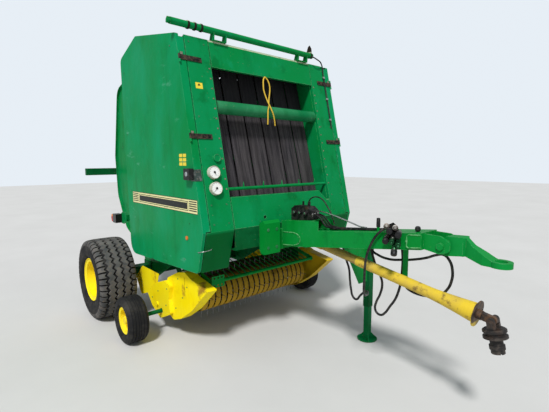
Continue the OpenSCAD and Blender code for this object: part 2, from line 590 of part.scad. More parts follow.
// Tailgate: two side sheets joined by cross tubes
gate_x = wall_x + wall_t + air;
gate_pts = [[-345, 2560], [-345, 2680], [130, 2690], [650, 2560], [835, 1750], [800, 1250], [560, 850], [160, 690],
            [-225, 690], [-225, 2440]];
gate_radii = [40, 40, 80, 160, 120, 200, 200, 100, 40, 60];
gate_flange = 26;
gate_tubes = [[570, 2480, 45], [785, 1560, 30], [430, 850, 45], [60, 2600, 40]];
bar_y = 845;
bar_z = 1510;
bar_h = 85;
lamp_arm_y = 150;
lamp_x = 850;
lamp_y = 245;
rod_eye = [55, 2321];
cyl_foot = [-450, 1300];
cyl_x = gate_x + gate_t + 98;
cyl_pin_r = 18;
eye_boss = 4;
module tailgate_frame() color(green) at_axle() {
    both_sides() {
        yz(gate_x, gate_t) polygon(rounded(gate_pts, gate_radii));
        difference() {
            yz(gate_x + gate_t - 1, gate_flange) polygon(rounded(gate_pts, gate_radii));
            yz(gate_x + gate_t - 2, gate_flange + 2) polygon(rounded(inset(gate_pts, gate_t), gate_radii));
        }
        yz(gate_x + gate_t - 1, 58) polygon(rounded([[175, 1285], [165, 1425], [300, 1450], [445, 1420], [450, 1290],
            [300, 1262]], [14, 14, 30, 14, 14, 30]));
        yz(gate_x, gate_t) polygon([[780, bar_z + 5], [bar_y, bar_z + 5], [bar_y, bar_z + bar_h - 5],
            [780, bar_z + bar_h - 5]]);
        rod_x(wall_x - 12, hinge[0], hinge[1], pin_r, gate_x + gate_t - wall_x + 12);
        rod_x(gate_x + 1, rod_eye[0], rod_eye[1], 42, gate_t + eye_boss - 1);
        translate([gate_x + 1, lamp_arm_y, 985]) cube([lamp_x - gate_x - 1, 12, 75]);
        yz(lamp_x - 6, 6) polygon([[-20, 1010], [-20, 1115], [60, 1125], [lamp_y, 1040], [lamp_y, 985], [60, 975]]);
    }
    for (t = gate_tubes) rod_x(-gate_x, t[0], t[1], t[2], 2 * gate_x);
}
module tailgate_belts() color(rubber) at_axle() belts(gate_run);
module tailgate_rollers() color(iron) at_axle() for (p = gate_run) {
    rod_x(-wall_x + 10, p[0], p[1], belt_roller_r, chamber_w - 20, 64);
    rod_x(-gate_x, p[0], p[1], 20, 2 * gate_x);
}
bar_half = 1000;
bar_t = 5;
module light_bar() color(dark_green) at_axle() {
    yz(-bar_half, 2 * bar_half) translate([bar_y, bar_z]) polygon([[0, 0], [60, 0], [60, bar_t], [bar_t, bar_t],
        [bar_t, bar_h - bar_t], [60, bar_h - bar_t], [60, bar_h], [0, bar_h]]);
    both_sides() translate([bar_half - bar_t, bar_y, bar_z]) cube([bar_t, 60, bar_h]);
}
module lamps() color(red) at_axle() both_sides() {
    translate([lamp_x, lamp_y - 130, 985]) cube([70, 100, 100]);
    yz(lamp_x, 70) polygon(rounded([[lamp_y - 31, 990], [lamp_y - 31, 1080], [lamp_y + 8, 1072], [lamp_y + 18, 1034],
        [lamp_y + 8, 998]], [0, 0, 10, 10, 10]));
}

// Tailgate cylinders
cyl_a = atan2(rod_eye[1] - cyl_foot[1], rod_eye[0] - cyl_foot[0]);
cyl_len = norm(rod_eye - cyl_foot);
barrel_len = 800;
module along_cylinder() at_axle() translate([cyl_x, cyl_foot[0], cyl_foot[1]]) rotate([cyl_a - 90, 0, 0]) children();
module barrel() along_cylinder() difference() {
    union() {
        translate([0, 0, 40]) cylinder(r = cyl_r, h = barrel_len, $fn = 40);
        rotate([0, 90, 0]) cylinder(r = 34, h = 40, center = true, $fn = 40);
        translate([-18, -22, 0]) cube([36, 44, 60]);
    }
    translate([0, 0, 80]) cylinder(r = rod_r + touch, h = barrel_len, $fn = 40);
    rotate([0, 90, 0]) cylinder(r = cyl_pin_r + pin_gap, h = 60, center = true, $fn = 40);
}
module rod() along_cylinder() {
    union() {
        translate([0, 0, 120]) cylinder(r = rod_r, h = cyl_len - 120 - 25, $fn = 40);
        translate([0, 0, cyl_len]) rotate([0, 90, 0]) cylinder(r = 32, h = 40, center = true, $fn = 40);
        translate([gate_x + gate_t + eye_boss + touch - cyl_x, 0, cyl_len]) rotate([0, 90, 0])
            cylinder(r = cyl_pin_r, h = cyl_x - gate_x - gate_t - eye_boss - touch, $fn = 40);
    }
}
module right_cylinder() color(green) mirror([1, 0, 0]) barrel();
module right_rod() color(steel) mirror([1, 0, 0]) rod();
module left_cylinder() color(green) barrel();
module left_rod() color(steel) rod();

// Side shields, hinged along their leaning front edge
shield_pts = [[roof_front_y, roof_front_z], [roof_rear_y, roof_rear_z], [chamfer_y, chamfer_z],
              [shield_rear_y, shield_rear_z], [skirt_y, skirt_z], [fold_y, fold_z]];
shield_radii = [20, 60, 60, 120, 40, 10];
module shield() yz(half_w - shield_t, shield_t) polygon(rounded(shield_pts, shield_radii));
module shield_shell() difference() {
    shield();
    yz(half_w - shield_t - 1, shield_t + 1 - shield_skin)
        polygon(rounded(inset(shield_pts, shield_skin), shield_radii));
}
module shield_door() {
    shield_shell();
    yz(half_w - flange_w, flange_w - shield_t + 1) polygon(face_band(fold_z + seam, roof_front_z - 22, shield_skin));
    shield_knuckles();
}
module marker_box() color(iron) at_axle() mirror([1, 0, 0]) {
    yz(half_w, 42) polygon(rounded([[-1652, 1530], [-1652, 1620], [-1560, 1620], [-1560, 1530]], [10, 10, 10, 10]));
}
module right_shield() color(green) at_axle() mirror([1, 0, 0]) shield_door();
module left_shield() color(green) at_axle() shield_door();

// Pickup: frame with its cross tube, bands, tined reel and end shields
reel_y = -1168;
reel_z = 425;
pickup_half = band_n * tine_pitch / 2;
side_t = 8;
tube_y = -868;
tube_z = 470;
gauge_y = -823;
gauge_x = gauge_track / 2 - gauge_w / 2;
stub_r = 20;
module pickup_frame() color(dark_green) at_axle() {
    translate([-pickup_half - 120, tube_y - 30, tube_z - 30]) cube([2 * pickup_half + 240, 60, 60]);
    both_sides() {
        difference() {
            yz(pickup_half + 6, side_t) polygon(rounded(
                [[reel_y - 60, reel_z + 40], [guard_pivot[0] - 30, guard_pivot[1] + 28],
                 [guard_pivot[0] + 30, guard_pivot[1] + 28], [-840, 560], [-840, 420], [reel_y, reel_z - 60],
                 [reel_y - 60, reel_z - 40]], [30, 25, 25, 20, 20, 30, 30]));
            rod_x(pickup_half, reel_y, reel_z, 22 + pin_gap, side_t + 12);
            rod_x(pickup_half, guard_pivot[0], guard_pivot[1], guard_pin_r + pin_gap, side_t + 12);
            translate([pickup_half, tube_y - 30 - touch, tube_z - 30 - touch]) cube([side_t + 12, 60 + 2 * touch, 90]);
        }
        yz(gate_x + 4, 16) polygon(rounded([[pivot[0] - 40, pivot[1] + 40], [pivot[0] + 40, pivot[1] + 40],
            [pivot[0] + 40, pivot[1] - 40], [tube_y + 30, tube_z + 30], [tube_y - 25, tube_z + 30]],
            [30, 30, 30, 0, 0]));
        rod_x(wall_x - 12, pivot[0], pivot[1], pin_r, gate_x + 10 - wall_x + 12);
        yz(pickup_half + 60, 30) polygon([[tube_y - 30, tube_z], [tube_y + 30, tube_z], [gauge_y + 30, gauge_r - 25],
            [gauge_y - 30, gauge_r - 25]]);
        rod_x(pickup_half + 60, gauge_y, gauge_r, stub_r, gauge_x + 60 - pickup_half - 60);
        for (p = [[-1130, 480], [-960, 460]]) rod_x(pickup_half + 6, p[0], p[1], 15, 34 + shield_w - sheet_t - touch);
    }
}
band_t = 3;
band_w = tine_pitch - tine_gap;
module pickup_bands() color(yellow) at_axle() {
    for (i = [0 : band_n - 1])
        yz(-pickup_half + i * tine_pitch + tine_gap / 2, band_w)
            difference() {
                union() {
                    translate([reel_y, reel_z]) circle(r = band_r, $fn = 64);
                    translate([reel_y, reel_z - band_r]) square([tube_y - 31 - reel_y, 2 * band_r]);
                }
                translate([reel_y, reel_z]) circle(r = band_r - band_t, $fn = 64);
                translate([reel_y, reel_z - band_r + band_t]) square([tube_y - reel_y, 2 * band_r - 2 * band_t]);
            }
    translate([-pickup_half + tine_gap / 2, tube_y - 30 - 5, reel_z - band_r])
        cube([2 * pickup_half - tine_gap, 5, 2 * band_r]);
}
bar_orbit = 105;
module pickup_reel() color(steel) at_axle() {
    rod_x(-pickup_half - 14, reel_y, reel_z, 22, 2 * pickup_half + 28);
    for (k = [0 : tine_bars - 1]) translate([0, reel_y, reel_z]) rotate([360 / tine_bars * k, 0, 0]) {
        rod_x(-pickup_half + 2, 0, -bar_orbit, 12, 2 * pickup_half - 4);
        for (i = [1 : band_n - 1])
            translate([-pickup_half + i * tine_pitch, 0, -tine_tip_r])
                cylinder(r = tine_r, h = tine_tip_r - bar_orbit, $fn = 16);
    }
    for (x = [-pickup_half + 16, -4, pickup_half - 24]) rod_x(x, reel_y, reel_z, bar_orbit + 16, 8);
}
shield_w = 100;
cap_pts = [[-1633, 605], [-1369, 366], [-1154, 224], [-1010, 170], [-915, 195], [-871, 367], [-900, 560],
           [-1107, 656], [-1250, 690], [-1345, 655]];
cap_radii = [8, 60, 60, 60, 40, 40, 40, 30, 40, 30];
cover_pts = [[-700, 470], [-890, 535], [-1022, 515], [-985, 369], [-1011, 232], [-791, 128], [-599, 210],
             [-497, 322]];
cover_radii = [30, 40, 20, 0, 30, 40, 40, 20];
rear_cover_pts = [[-327, 564], [-140, 399], [-269, 235], [-480, 305], [-700, 470], [-740, 562]];
sheet_t = 4;
module hood(pts, radii, x, w) difference() {
    yz(x, w) polygon(rounded(pts, radii));
    yz(x - 1, w + 1 - sheet_t) polygon(rounded(inset(pts, sheet_t), radii));
}
shield_x = pickup_half + 40;
cover_x = shield_x + shield_w - 2;
cover_w = 40;
module end_cap() difference() {
    hood(cap_pts, cap_radii, shield_x, shield_w);
    translate([shield_x - 1, tube_y - 62, 150]) cube([shield_w - sheet_t + 1, 120, 385]);
}
module pickup_shields() color(yellow) at_axle() {
    mirror([1, 0, 0]) {
        difference() {
            end_cap();
            translate([shield_x + shield_w - 8, -1250, 470]) cube([10, 10, 170]);
        }
        difference() {
            hood(cover_pts, cover_radii, cover_x, cover_w);
            rod_x(cover_x - 1, gauge_y, gauge_r, stub_r + 6, cover_w + 2);
        }
        rod_x(cover_x + cover_w - 3, -736, 262, 22, 16, 32);
        yz(cover_x + 12, sheet_t) polygon(rounded(rear_cover_pts, [30, 20, 20, 10, 10, 10]));
    }
    end_cap();
}

// Gauge wheels
gauge_rim_half = gauge_w / 2 - 22;
function gauge_tyre_pts(r, w, bead, flange, half) = rounded(
    [[bead, -half + 13], [flange + 3, -half + 6.8], [flange + 25, -w / 2], [r - 30, -w / 2], [r, -w / 2 + 26],
     [r, w / 2 - 26], [r - 30, w / 2], [flange + 25, w / 2], [flange + 3, half - 6.8], [bead, half - 13]],
    [0, 0, 12, 14, 14, 14, 14, 12, 0, 0]);
module gauge_tyre() rotate_extrude($fn = 64)
    polygon(gauge_tyre_pts(gauge_r, gauge_w, gauge_rim_r - 18 + touch, gauge_rim_r, gauge_rim_half));
module gauge_rim() rotate_extrude($fn = 48) polygon([
    [stub_r + pin_gap, -45], [42, -45], [42, -5], [gauge_rim_r - 24, -5], [gauge_rim_r - 24, -gauge_rim_half + 6],
    [gauge_rim_r, -gauge_rim_half], [gauge_rim_r + 2, -gauge_rim_half + 6], [gauge_rim_r - 18, -gauge_rim_half + 12],
    [gauge_rim_r - 18, gauge_rim_half - 12], [gauge_rim_r + 2, gauge_rim_half - 6], [gauge_rim_r, gauge_rim_half],
    [gauge_rim_r - 24, gauge_rim_half - 6], [gauge_rim_r - 24, 5], [42, 5], [38, 68], [0, 68], [0, 61],
    [stub_r + pin_gap, 61]]);
module at_gauge() at_axle() translate([0, gauge_y, gauge_r]) children();
module right_gauge_tyre() color(rubber) at_gauge() right_side(gauge_x) gauge_tyre();
module right_gauge_rim() color(yellow) at_gauge() right_side(gauge_x) gauge_rim();
module left_gauge_tyre() color(rubber) at_gauge() left_side(gauge_x) gauge_tyre();
module left_gauge_rim() color(yellow) at_gauge() left_side(gauge_x) gauge_rim();

// Windguard over the bands
guard_y = -1440;
guard_z = 605;
guard_pivot = [-1168, 690];
guard_end = [-1080, 700];
guard_pin_r = 10;
module windguard() color(green) at_axle() {
    rod_x(-pickup_half + 20, guard_y, guard_z, 16, 2 * pickup_half - 40, 32);
    both_sides() yz(pickup_half - 20, 6) polygon(rounded([[guard_y - 20, guard_z - 20],
        [guard_y + 10, guard_z - 22], [guard_pivot[0] + 18, guard_pivot[1] - 15],
        [guard_pivot[0] + 18, guard_pivot[1] + 15], [guard_y - 20, guard_z + 20]], [15, 5, 12, 12, 15]));
    both_sides() rod_x(pickup_half - 20, guard_pivot[0], guard_pivot[1], guard_pin_r, side_t + 34);
    difference() {
        translate([-pickup_half + 16, guard_y - 20, guard_z - 48]) cube([130, 5, 103]);
        for (x = [40, 80, 120], z = [-30, 36]) translate([-pickup_half + x, guard_y, guard_z + z])
            rotate([90, 0, 0]) cylinder(r = 9, h = 60, center = true, $fn = 20);
    }
    for (i = [0 : band_n - 1])
        yz(-pickup_half + (i + 0.5) * tine_pitch - 3, 6) polygon([[guard_y, guard_z - 4], [guard_end[0], guard_end[1]],
            [guard_end[0], guard_end[1] + 6], [guard_y, guard_z + 4]]);
}

// Driveline: rear guard, telescoping front guard with its cone, and the wide-angle joint
pto_y = -2085;
pto_z = gear_z;
cone_y = -3423;
cone_z = 753;
pto_a = atan2(pto_z - cone_z, pto_y - cone_y);
pto_len = norm([pto_y - cone_y, pto_z - cone_z]);
pto_pin_r = 12;
pto_split = 560;
sleeve_r = 34;
shaft_r = 22;
cone_r = 82;
joint_at = 85;
bend = 68;
module along_pto() at_axle() translate([0, pto_y, pto_z]) rotate([90 + pto_a, 0, 0]) children();
module fork(inner, outer, reach, pin) {
    for (s = [-1, 1]) translate([s > 0 ? inner : -outer, -22, 0]) cube([outer - inner, 44, reach]);
    rotate([0, 90, 0]) cylinder(r = pin, h = 2 * outer, center = true, $fn = 32);
    for (s = [-1, 1]) translate([s * (inner + outer) / 2, 0, 0]) rotate([0, 90, 0])
        cylinder(r = 22, h = outer - inner, center = true, $fn = 32);
}
module pto_rear() color(yellow) along_pto() {
    fork(20, 36, 40, pto_pin_r);
    difference() {
        translate([0, 0, 40]) cylinder(r = 40, h = 50, $fn = 40);
        translate([0, 0, 39]) cylinder(r = 20, h = 21, $fn = 40);
    }
    difference() {
        translate([0, 0, 60]) cylinder(r = sleeve_r, h = pto_split - 30, $fn = 40);
        translate([0, 0, 100]) cylinder(r = shaft_r + 0.5, h = pto_split, $fn = 40);
    }
}
module pto_front() color(yellow) along_pto() {
    difference() {
        translate([0, 0, pto_split - 100]) cylinder(r = guard_r, h = pto_len - pto_split + 20, $fn = 40);
        translate([0, 0, pto_split - 101]) cylinder(r = sleeve_r + 0.5, h = 340, $fn = 40);
    }
    translate([0, 0, pto_len - 300]) rotate_extrude($fn = 48) polygon([[0, 0], [guard_r, 0], [guard_r + 5, 90],
        [guard_r + 13, 180], [guard_r + 22, 260], [guard_r + 24, 290], [guard_r + 24, 294], [0, 294]]);
    translate([0, 0, pto_len - 7]) cylinder(r = cone_r, h = 7, $fn = 48);
    translate([0, 0, 280]) cylinder(r = shaft_r, h = pto_split, $fn = 40);
    difference() {
        union() {
            translate([0, 0, pto_len - 1]) cylinder(r = 30, h = 26, $fn = 40);
            translate([-17, -22, pto_len + 10]) cube([34, 44, joint_at - 10]);
            translate([0, 0, pto_len + joint_at]) rotate([0, 90, 0]) cylinder(r = 26, h = 34, center = true, $fn = 32);
        }
        translate([0, 0, pto_len + joint_at]) rotate([0, 90, 0])
            cylinder(r = pto_pin_r + pin_gap, h = 40, center = true, $fn = 32);
    }
}
yoke_len = 190;
module pto_joint() color(iron) along_pto() translate([0, 0, pto_len + joint_at]) rotate([bend, 0, 0]) difference() {
    union() {
        fork(22, 46, 70, pto_pin_r);
        translate([0, 0, 45]) rotate_extrude($fn = 48) polygon([[0, 0], [58, 0], [66, 6], [66, 18], [52, 24], [52, 34],
            [68, 40], [68, 54], [48, 62], [36, 66], [36, 92], [43, 96], [43, 120], [38, 126], [38, 145], [0, 145]]);
    }
    translate([0, 0, 100]) cylinder(r = pto_bore_r, h = yoke_len, $fn = 48);
    for (a = [0, 90]) rotate([0, 0, a + 45]) translate([0, 0, yoke_len - 6]) cube([100, 8, 14], center = true);
}

side_frames();
cross_beam();
axle();
front_strips();
front_panels();
shield_hinges();
top_tube();
window_roller();
chamber_rollers();
front_belts();
belt_guide();
gauges();
tongue();
hitch_arm();
gearbox();
valve_block();
jack_tube();
tie_rope();
hose_side();
hose_loop();
hose_front();
right_tyre();
right_rim();
left_tyre();
left_rim();
tailgate_frame();
tailgate_rollers();
tailgate_belts();
light_bar();
lamps();
right_cylinder();
right_rod();
left_cylinder();
left_rod();
right_shield();
left_shield();
marker_box();
pickup_frame();
pickup_bands();
pickup_reel();
pickup_shields();
right_gauge_tyre();
right_gauge_rim();
left_gauge_tyre();
left_gauge_rim();
windguard();
jack_leg();
pto_rear();
pto_front();
pto_joint();
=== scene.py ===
import math
import bpy
from mathutils import Matrix, Vector


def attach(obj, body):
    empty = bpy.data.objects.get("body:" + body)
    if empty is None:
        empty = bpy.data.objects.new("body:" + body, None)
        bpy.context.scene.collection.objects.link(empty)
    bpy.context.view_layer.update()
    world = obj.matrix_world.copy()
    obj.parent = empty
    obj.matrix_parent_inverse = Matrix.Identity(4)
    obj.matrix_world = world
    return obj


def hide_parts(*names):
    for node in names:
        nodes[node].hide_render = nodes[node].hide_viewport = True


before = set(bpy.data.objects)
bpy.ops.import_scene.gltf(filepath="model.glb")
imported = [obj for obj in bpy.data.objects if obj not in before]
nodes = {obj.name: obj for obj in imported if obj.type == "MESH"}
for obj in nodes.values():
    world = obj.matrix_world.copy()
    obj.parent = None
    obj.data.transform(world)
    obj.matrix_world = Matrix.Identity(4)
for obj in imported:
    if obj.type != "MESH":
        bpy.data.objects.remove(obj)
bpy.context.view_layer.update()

# Camera: stands off the front right corner of the machine at a person's eye height,
# with a slightly wide lens, as for a photo of the whole baler in a yard.
lens_mm = 24.92
camera_data = bpy.data.cameras.new("yard_camera")
camera_data.sensor_width = 36
camera_data.lens = lens_mm
camera = bpy.data.objects.new("yard_camera", camera_data)
bpy.context.scene.collection.objects.link(camera)
camera.matrix_world = (Matrix.Translation((-2.367, -2.9305, 1.672))
                       @ Matrix.Rotation(math.radians(-41.147), 4, "Z")
                       @ Matrix.Rotation(math.radians(90 - 6.707), 4, "X")
                       @ Matrix.Rotation(math.radians(-0.295), 4, "Z"))
bpy.context.scene.camera = camera

# Tie rope: a length of yellow braided plastic rope about 12 mm thick, hung over the lower edge
# of the panel above the window. Its two ends cross in front of the green roller.
axle_y = 1.3435


def from_axle(points):
    """Points measured in mm from the main axle, in metres in the machine's frame."""
    return [Vector((x / 1000, y / 1000 + axle_y, z / 1000)) for x, y, z in points]


def finish(name, colour, rough, metal=0.0):
    """A new material with its shader, and the node tree that its patterns are built in."""
    material = bpy.data.materials.new(name)
    material.use_nodes = True
    tree = material.node_tree
    shader = tree.nodes["Principled BSDF"]
    shader.inputs["Base Color"].default_value = (*colour, 1)
    shader.inputs["Roughness"].default_value = rough
    shader.inputs["Metallic"].default_value = metal
    shader.inputs["Specular IOR Level"].default_value = 0.22
    return material, tree, shader


def place_on(tree, scale):
    """Object coordinates, stretched by a scale on each axis."""
    where = tree.nodes.new("ShaderNodeTexCoord")
    mapping = tree.nodes.new("ShaderNodeMapping")
    mapping.inputs["Scale"].default_value = scale
    tree.links.new(where.outputs["Object"], mapping.inputs["Vector"])
    return mapping.outputs["Vector"]


def lay_over(tree, under, colour, mask):
    """A colour laid over another through a mask."""
    mix = tree.nodes.new("ShaderNodeMix")
    mix.data_type = "RGBA"
    tree.links.new(mask, mix.inputs["Factor"])
    if isinstance(under, tuple):
        mix.inputs["A"].default_value = (*under, 1)
    else:
        tree.links.new(under, mix.inputs["A"])
    if isinstance(colour, tuple):
        mix.inputs["B"].default_value = (*colour, 1)
    else:
        tree.links.new(colour, mix.inputs["B"])
    return mix.outputs["Result"]


def paint(tree, shader, colour):
    """The pattern becomes the surface's colour."""
    tree.links.new(colour, shader.inputs["Base Color"])


def bumps(tree, shader, height, strength, distance):
    """Surface relief from a mask."""
    bump = tree.nodes.new("ShaderNodeBump")
    bump.inputs["Strength"].default_value = strength
    bump.inputs["Distance"].default_value = distance
    tree.links.new(height, bump.inputs["Height"])
    tree.links.new(bump.outputs["Normal"], shader.inputs["Normal"])


def deselect():
    """Nothing is selected, so that the next step takes only the new piece."""
    bpy.ops.object.select_all(action="DESELECT")


def fitted(piece, body):
    """The piece rides on a body."""
    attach(piece, body)
    return piece


def laid_cord(name, points, diameter, material):
    """A cord on one smooth open curve through the points of its route."""
    deselect()
    curve = bpy.data.curves.new(name, "CURVE")
    curve.dimensions = "3D"
    curve.bevel_depth = diameter / 2
    curve.bevel_resolution = 4
    curve.resolution_u = 10
    curve.use_fill_caps = True
    line = curve.splines.new("BEZIER")
    line.bezier_points.add(len(points) - 1)
    for knot, point in zip(line.bezier_points, points):
        knot.co = point
        knot.handle_left_type = "AUTO"
        knot.handle_right_type = "AUTO"
    cord = bpy.data.objects.new(name, curve)
    bpy.context.scene.collection.objects.link(cord)
    curve.materials.append(material)
    return cord


rope_finish, tree, shader = finish("braided_rope", (0.80, 0.55, 0.06), 0.75)
strands = tree.nodes.new("ShaderNodeTexWave")
strands.bands_direction = "DIAGONAL"
strands.inputs["Scale"].default_value = 60
strands.inputs["Distortion"].default_value = 1.5
tree.links.new(place_on(tree, (1, 1, 1)), strands.inputs["Vector"])
paint(tree, shader, lay_over(tree, (0.86, 0.60, 0.07), (0.52, 0.31, 0.03), strands.outputs["Fac"]))
bumps(tree, shader, strands.outputs["Fac"], 0.6, 0.002)
rope_route = from_axle([
    (-72, -1560, 2008), (-70, -1560, 2060), (-66, -1556, 2100), (-58, -1549, 2135), (-46, -1544, 2170),
    (-30, -1526, 2210), (-14, -1510, 2250), (0, -1501, 2290), (8, -1497, 2325), (9, -1494, 2365),
    (0, -1488, 2405), (-18, -1479, 2437), (-32, -1474, 2447), (-46, -1479, 2438), (-64, -1490, 2410),
    (-74, -1502, 2370), (-77, -1509, 2330), (-72, -1518, 2290), (-62, -1528, 2250), (-54, -1542, 2212),
    (-46, -1562, 2172), (-34, -1573, 2135), (-18, -1575, 2100), (0, -1571, 2050), (12, -1565, 2000)])
rope = laid_cord("tie_rope_strand", rope_route, 0.0125, rope_finish)
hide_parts("tie_rope")
fitted(rope, "chassis")

# Hydraulic hoses: black rubber over steel braid, from the tongue's pipes down and up again to
# their parking places on the tongue. Each end has a crimped steel sleeve with a hexagon nut.


def cloudy(tree, scale, low, high, stretch=(1, 1, 1), detail=6.0, rough=0.6):
    """A cloudy mask from 0 to 1: 0 below low, 1 above high."""
    noise = tree.nodes.new("ShaderNodeTexNoise")
    noise.inputs["Scale"].default_value = scale
    noise.inputs["Detail"].default_value = detail
    noise.inputs["Roughness"].default_value = rough
    tree.links.new(place_on(tree, stretch), noise.inputs["Vector"])
    mask = tree.nodes.new("ShaderNodeMapRange")
    mask.inputs["From Min"].default_value = low
    mask.inputs["From Max"].default_value = high
    tree.links.new(noise.outputs["Fac"], mask.inputs["Value"])
    return mask.outputs["Result"]


def times(tree, a, b):
    """Two masks multiplied, or a mask scaled by a number."""
    node = tree.nodes.new("ShaderNodeMath")
    node.operation = "MULTIPLY"
    tree.links.new(a, node.inputs[0])
    if isinstance(b, (int, float)):
        node.inputs[1].default_value = b
    else:
        tree.links.new(b, node.inputs[1])
    return node.outputs["Value"]


def varied_gloss(tree, shader, mask, low, high):
    """Roughness that follows a mask."""
    gloss = tree.nodes.new("ShaderNodeMapRange")
    gloss.inputs["To Min"].default_value = low
    gloss.inputs["To Max"].default_value = high
    tree.links.new(mask, gloss.inputs["Value"])
    tree.links.new(gloss.outputs["Result"], shader.inputs["Roughness"])


def mottled(name, under, over, rough, metal, scale, low, high, share=1.0, stretch=(1, 1, 1)):
    """A finish of one colour with cloudy patches of another laid over it."""
    material, tree, shader = finish(name, under, rough, metal)
    patches = cloudy(tree, scale, low, high, stretch)
    paint(tree, shader, lay_over(tree, under, over, patches if share == 1 else times(tree, patches, share)))
    return material, tree, shader, patches


def named(name, material):
    """The piece just added, with its name and finish."""
    piece = bpy.context.active_object
    piece.name = name
    piece.data.name = name
    piece.data.materials.clear()
    piece.data.materials.append(material)
    return piece


def seat(piece, place=None):
    """The piece goes to its place, which its mesh then holds: object at the origin, unturned, unscaled."""
    if place is not None:
        piece.matrix_world = place
    deselect()
    piece.select_set(True)
    bpy.context.view_layer.objects.active = piece
    bpy.ops.object.transform_apply(location=True, rotation=True, scale=True)
    return piece


def round_edges(offset, segments):
    """All edges of the active piece are bevelled."""
    bpy.ops.object.mode_set(mode="EDIT")
    bpy.ops.mesh.select_all(action="SELECT")
    bpy.ops.mesh.bevel(offset=offset, segments=segments)
    bpy.ops.object.mode_set(mode="OBJECT")


def weld(name, parts):
    """Several parts joined into one piece."""
    deselect()
    for part in parts:
        part.select_set(True)
    bpy.context.view_layer.objects.active = parts[0]
    if len(parts) > 1:
        bpy.ops.object.join()
    parts[0].name = name
    parts[0].data.name = name
    return parts[0]


hose_finish, tree, shader, dust = mottled("hose_rubber", (0.010, 0.010, 0.011), (0.07, 0.065, 0.055), 0.45, 0,
                                          22, 0.45, 0.75)
varied_gloss(tree, shader, dust, 0.35, 0.75)
zinc, tree, shader, tarnish = mottled("yellow_zinc", (0.46, 0.42, 0.32), (0.14, 0.10, 0.07), 0.38, 0.9, 60,
                                      0.42, 0.66)
varied_gloss(tree, shader, tarnish, 0.3, 0.65)
hose_d = 0.018


def tongue_low(y):
    """Height of the tongue's underside at a distance from the axle."""
    return 906 + (-1764 - y) / 1336 * 197


def tongue_high(y):
    """Height of the tongue's top at a distance from the axle."""
    return 1055 + (-1764 - y) / 1336 * 158


tongue_slope = math.atan(197 / 1336)


def under(x, y, drop=0.0):
    """A point square below the tongue's underside, by a drop."""
    return (x, y - drop * math.sin(tongue_slope), tongue_low(y) - 0.3 - drop * math.cos(tongue_slope))


hose_side = from_axle([
    (-60, -2880, tongue_high(-2880) + 9.3), (-90, -2866, 1226), (-118, -2836, 1208), (-134, -2790, 1160),
    (-140, -2750, 1090), (-142, -2720, 1010), (-142, -2706, 920), (-138, -2700, 820), (-112, -2680, 730),
    (-60, -2650, 680), (0, -2622, 655), (50, -2600, 648), (90, -2566, 648), (108, -2530, 628),
    (112, -2488, 588), (110, -2450, 546), (108, -2420, 560), (106, -2400, 620), (104, -2388, 700),
    (100, -2380, 790), (88, -2357, 870), under(79, -2330, 50), under(79, -2330)])
hose_loop = from_axle([
    under(80, -2600), under(80, -2600, 45), (82, -2628, 920), (84, -2652, 858), (84, -2690, 800),
    (84, -2706, 745), (84, -2690, 660), (82, -2660, 590), (80, -2652, 535), (80, -2672, 505),
    (80, -2705, 500), (80, -2740, 528), (80, -2780, 590), (80, -2818, 650), (80, -2845, 720),
    (80, -2862, 800), (80, -2870, 900), (80, -2870, 975), under(80, -2859, 45), under(80, -2859)])
hose_front = from_axle([
    under(30, -2640), under(30, -2640, 30), (38, -2692, 975), (50, -2775, 957), (62, -2875, 968),
    (72, -2966, 987), (78, -3050, 1014), (84, -3110, 1042), (90, -3160, 1052), (92, -3196, 1024),
    (92, -3220, 960), (92, -3216, 880), (90, -3192, 822), (86, -3150, 776), (82, -3098, 756),
    (80, -3044, 744), (76, -2995, 744), (65, -2950, 757), (57, -2922, 776), (54, -2912, 798),
    (54, -2912, 819.7)])


def crimped_end(name, at, towards):
    """A steel sleeve pressed on the hose, with its hexagon nut."""
    deselect()
    bpy.ops.mesh.primitive_cylinder_add(vertices=24, radius=0.0118, depth=0.034, location=(0, 0, 0.031))
    sleeve = named(name, zinc)
    round_edges(0.0015, 2)
    deselect()
    bpy.ops.mesh.primitive_cylinder_add(vertices=6, radius=0.0155, depth=0.013, location=(0, 0, 0.0075))
    nut = named(name + "_nut", zinc)
    round_edges(0.0012, 1)
    end = weld(name, [sleeve, nut])
    turn = (towards - at).to_track_quat("Z", "Y")
    seat(end, Matrix.Translation(at) @ turn.to_matrix().to_4x4())
    fitted(end, "chassis")
    return end


for name, route, length in (("hose_side", hose_side, 1.51), ("hose_loop", hose_loop, 1.216),
                            ("hose_front", hose_front, 1.186)):
    ends = [crimped_end(name + "_start", route[0], route[1]),
            crimped_end(name + "_end", route[-1], route[-2])]
    hose = laid_cord(name + "_run", route, hose_d, hose_finish)
    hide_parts(name)
    fitted(hose, "chassis")

# Body: folded and welded steel sheet under green enamel that the sun has faded, with
# scuffs, runs of dust and paint rubbed off along the edges, whose light green is also painted highlight.


def dress(node, material):
    """A CAD node gets its real finish."""
    nodes[node].data.materials.clear()
    nodes[node].data.materials.append(material)


green_new = (0.0014, 0.205, 0.040)
green_faded = (0.0035, 0.260, 0.088)
green_deep = (0.0006, 0.105, 0.018)
# Light green for the edges: rubbed paint, and painted highlights along the folds and flanges.
green_wear_and_highlight = (0.12, 0.36, 0.17)
primer = (0.10, 0.075, 0.055)
# Pale cream on the roof's fold and the top tube: rubbed paint, and painted highlight.
cream_wear_and_highlight = (0.50, 0.56, 0.38)
yard_dust = (0.24, 0.20, 0.14)


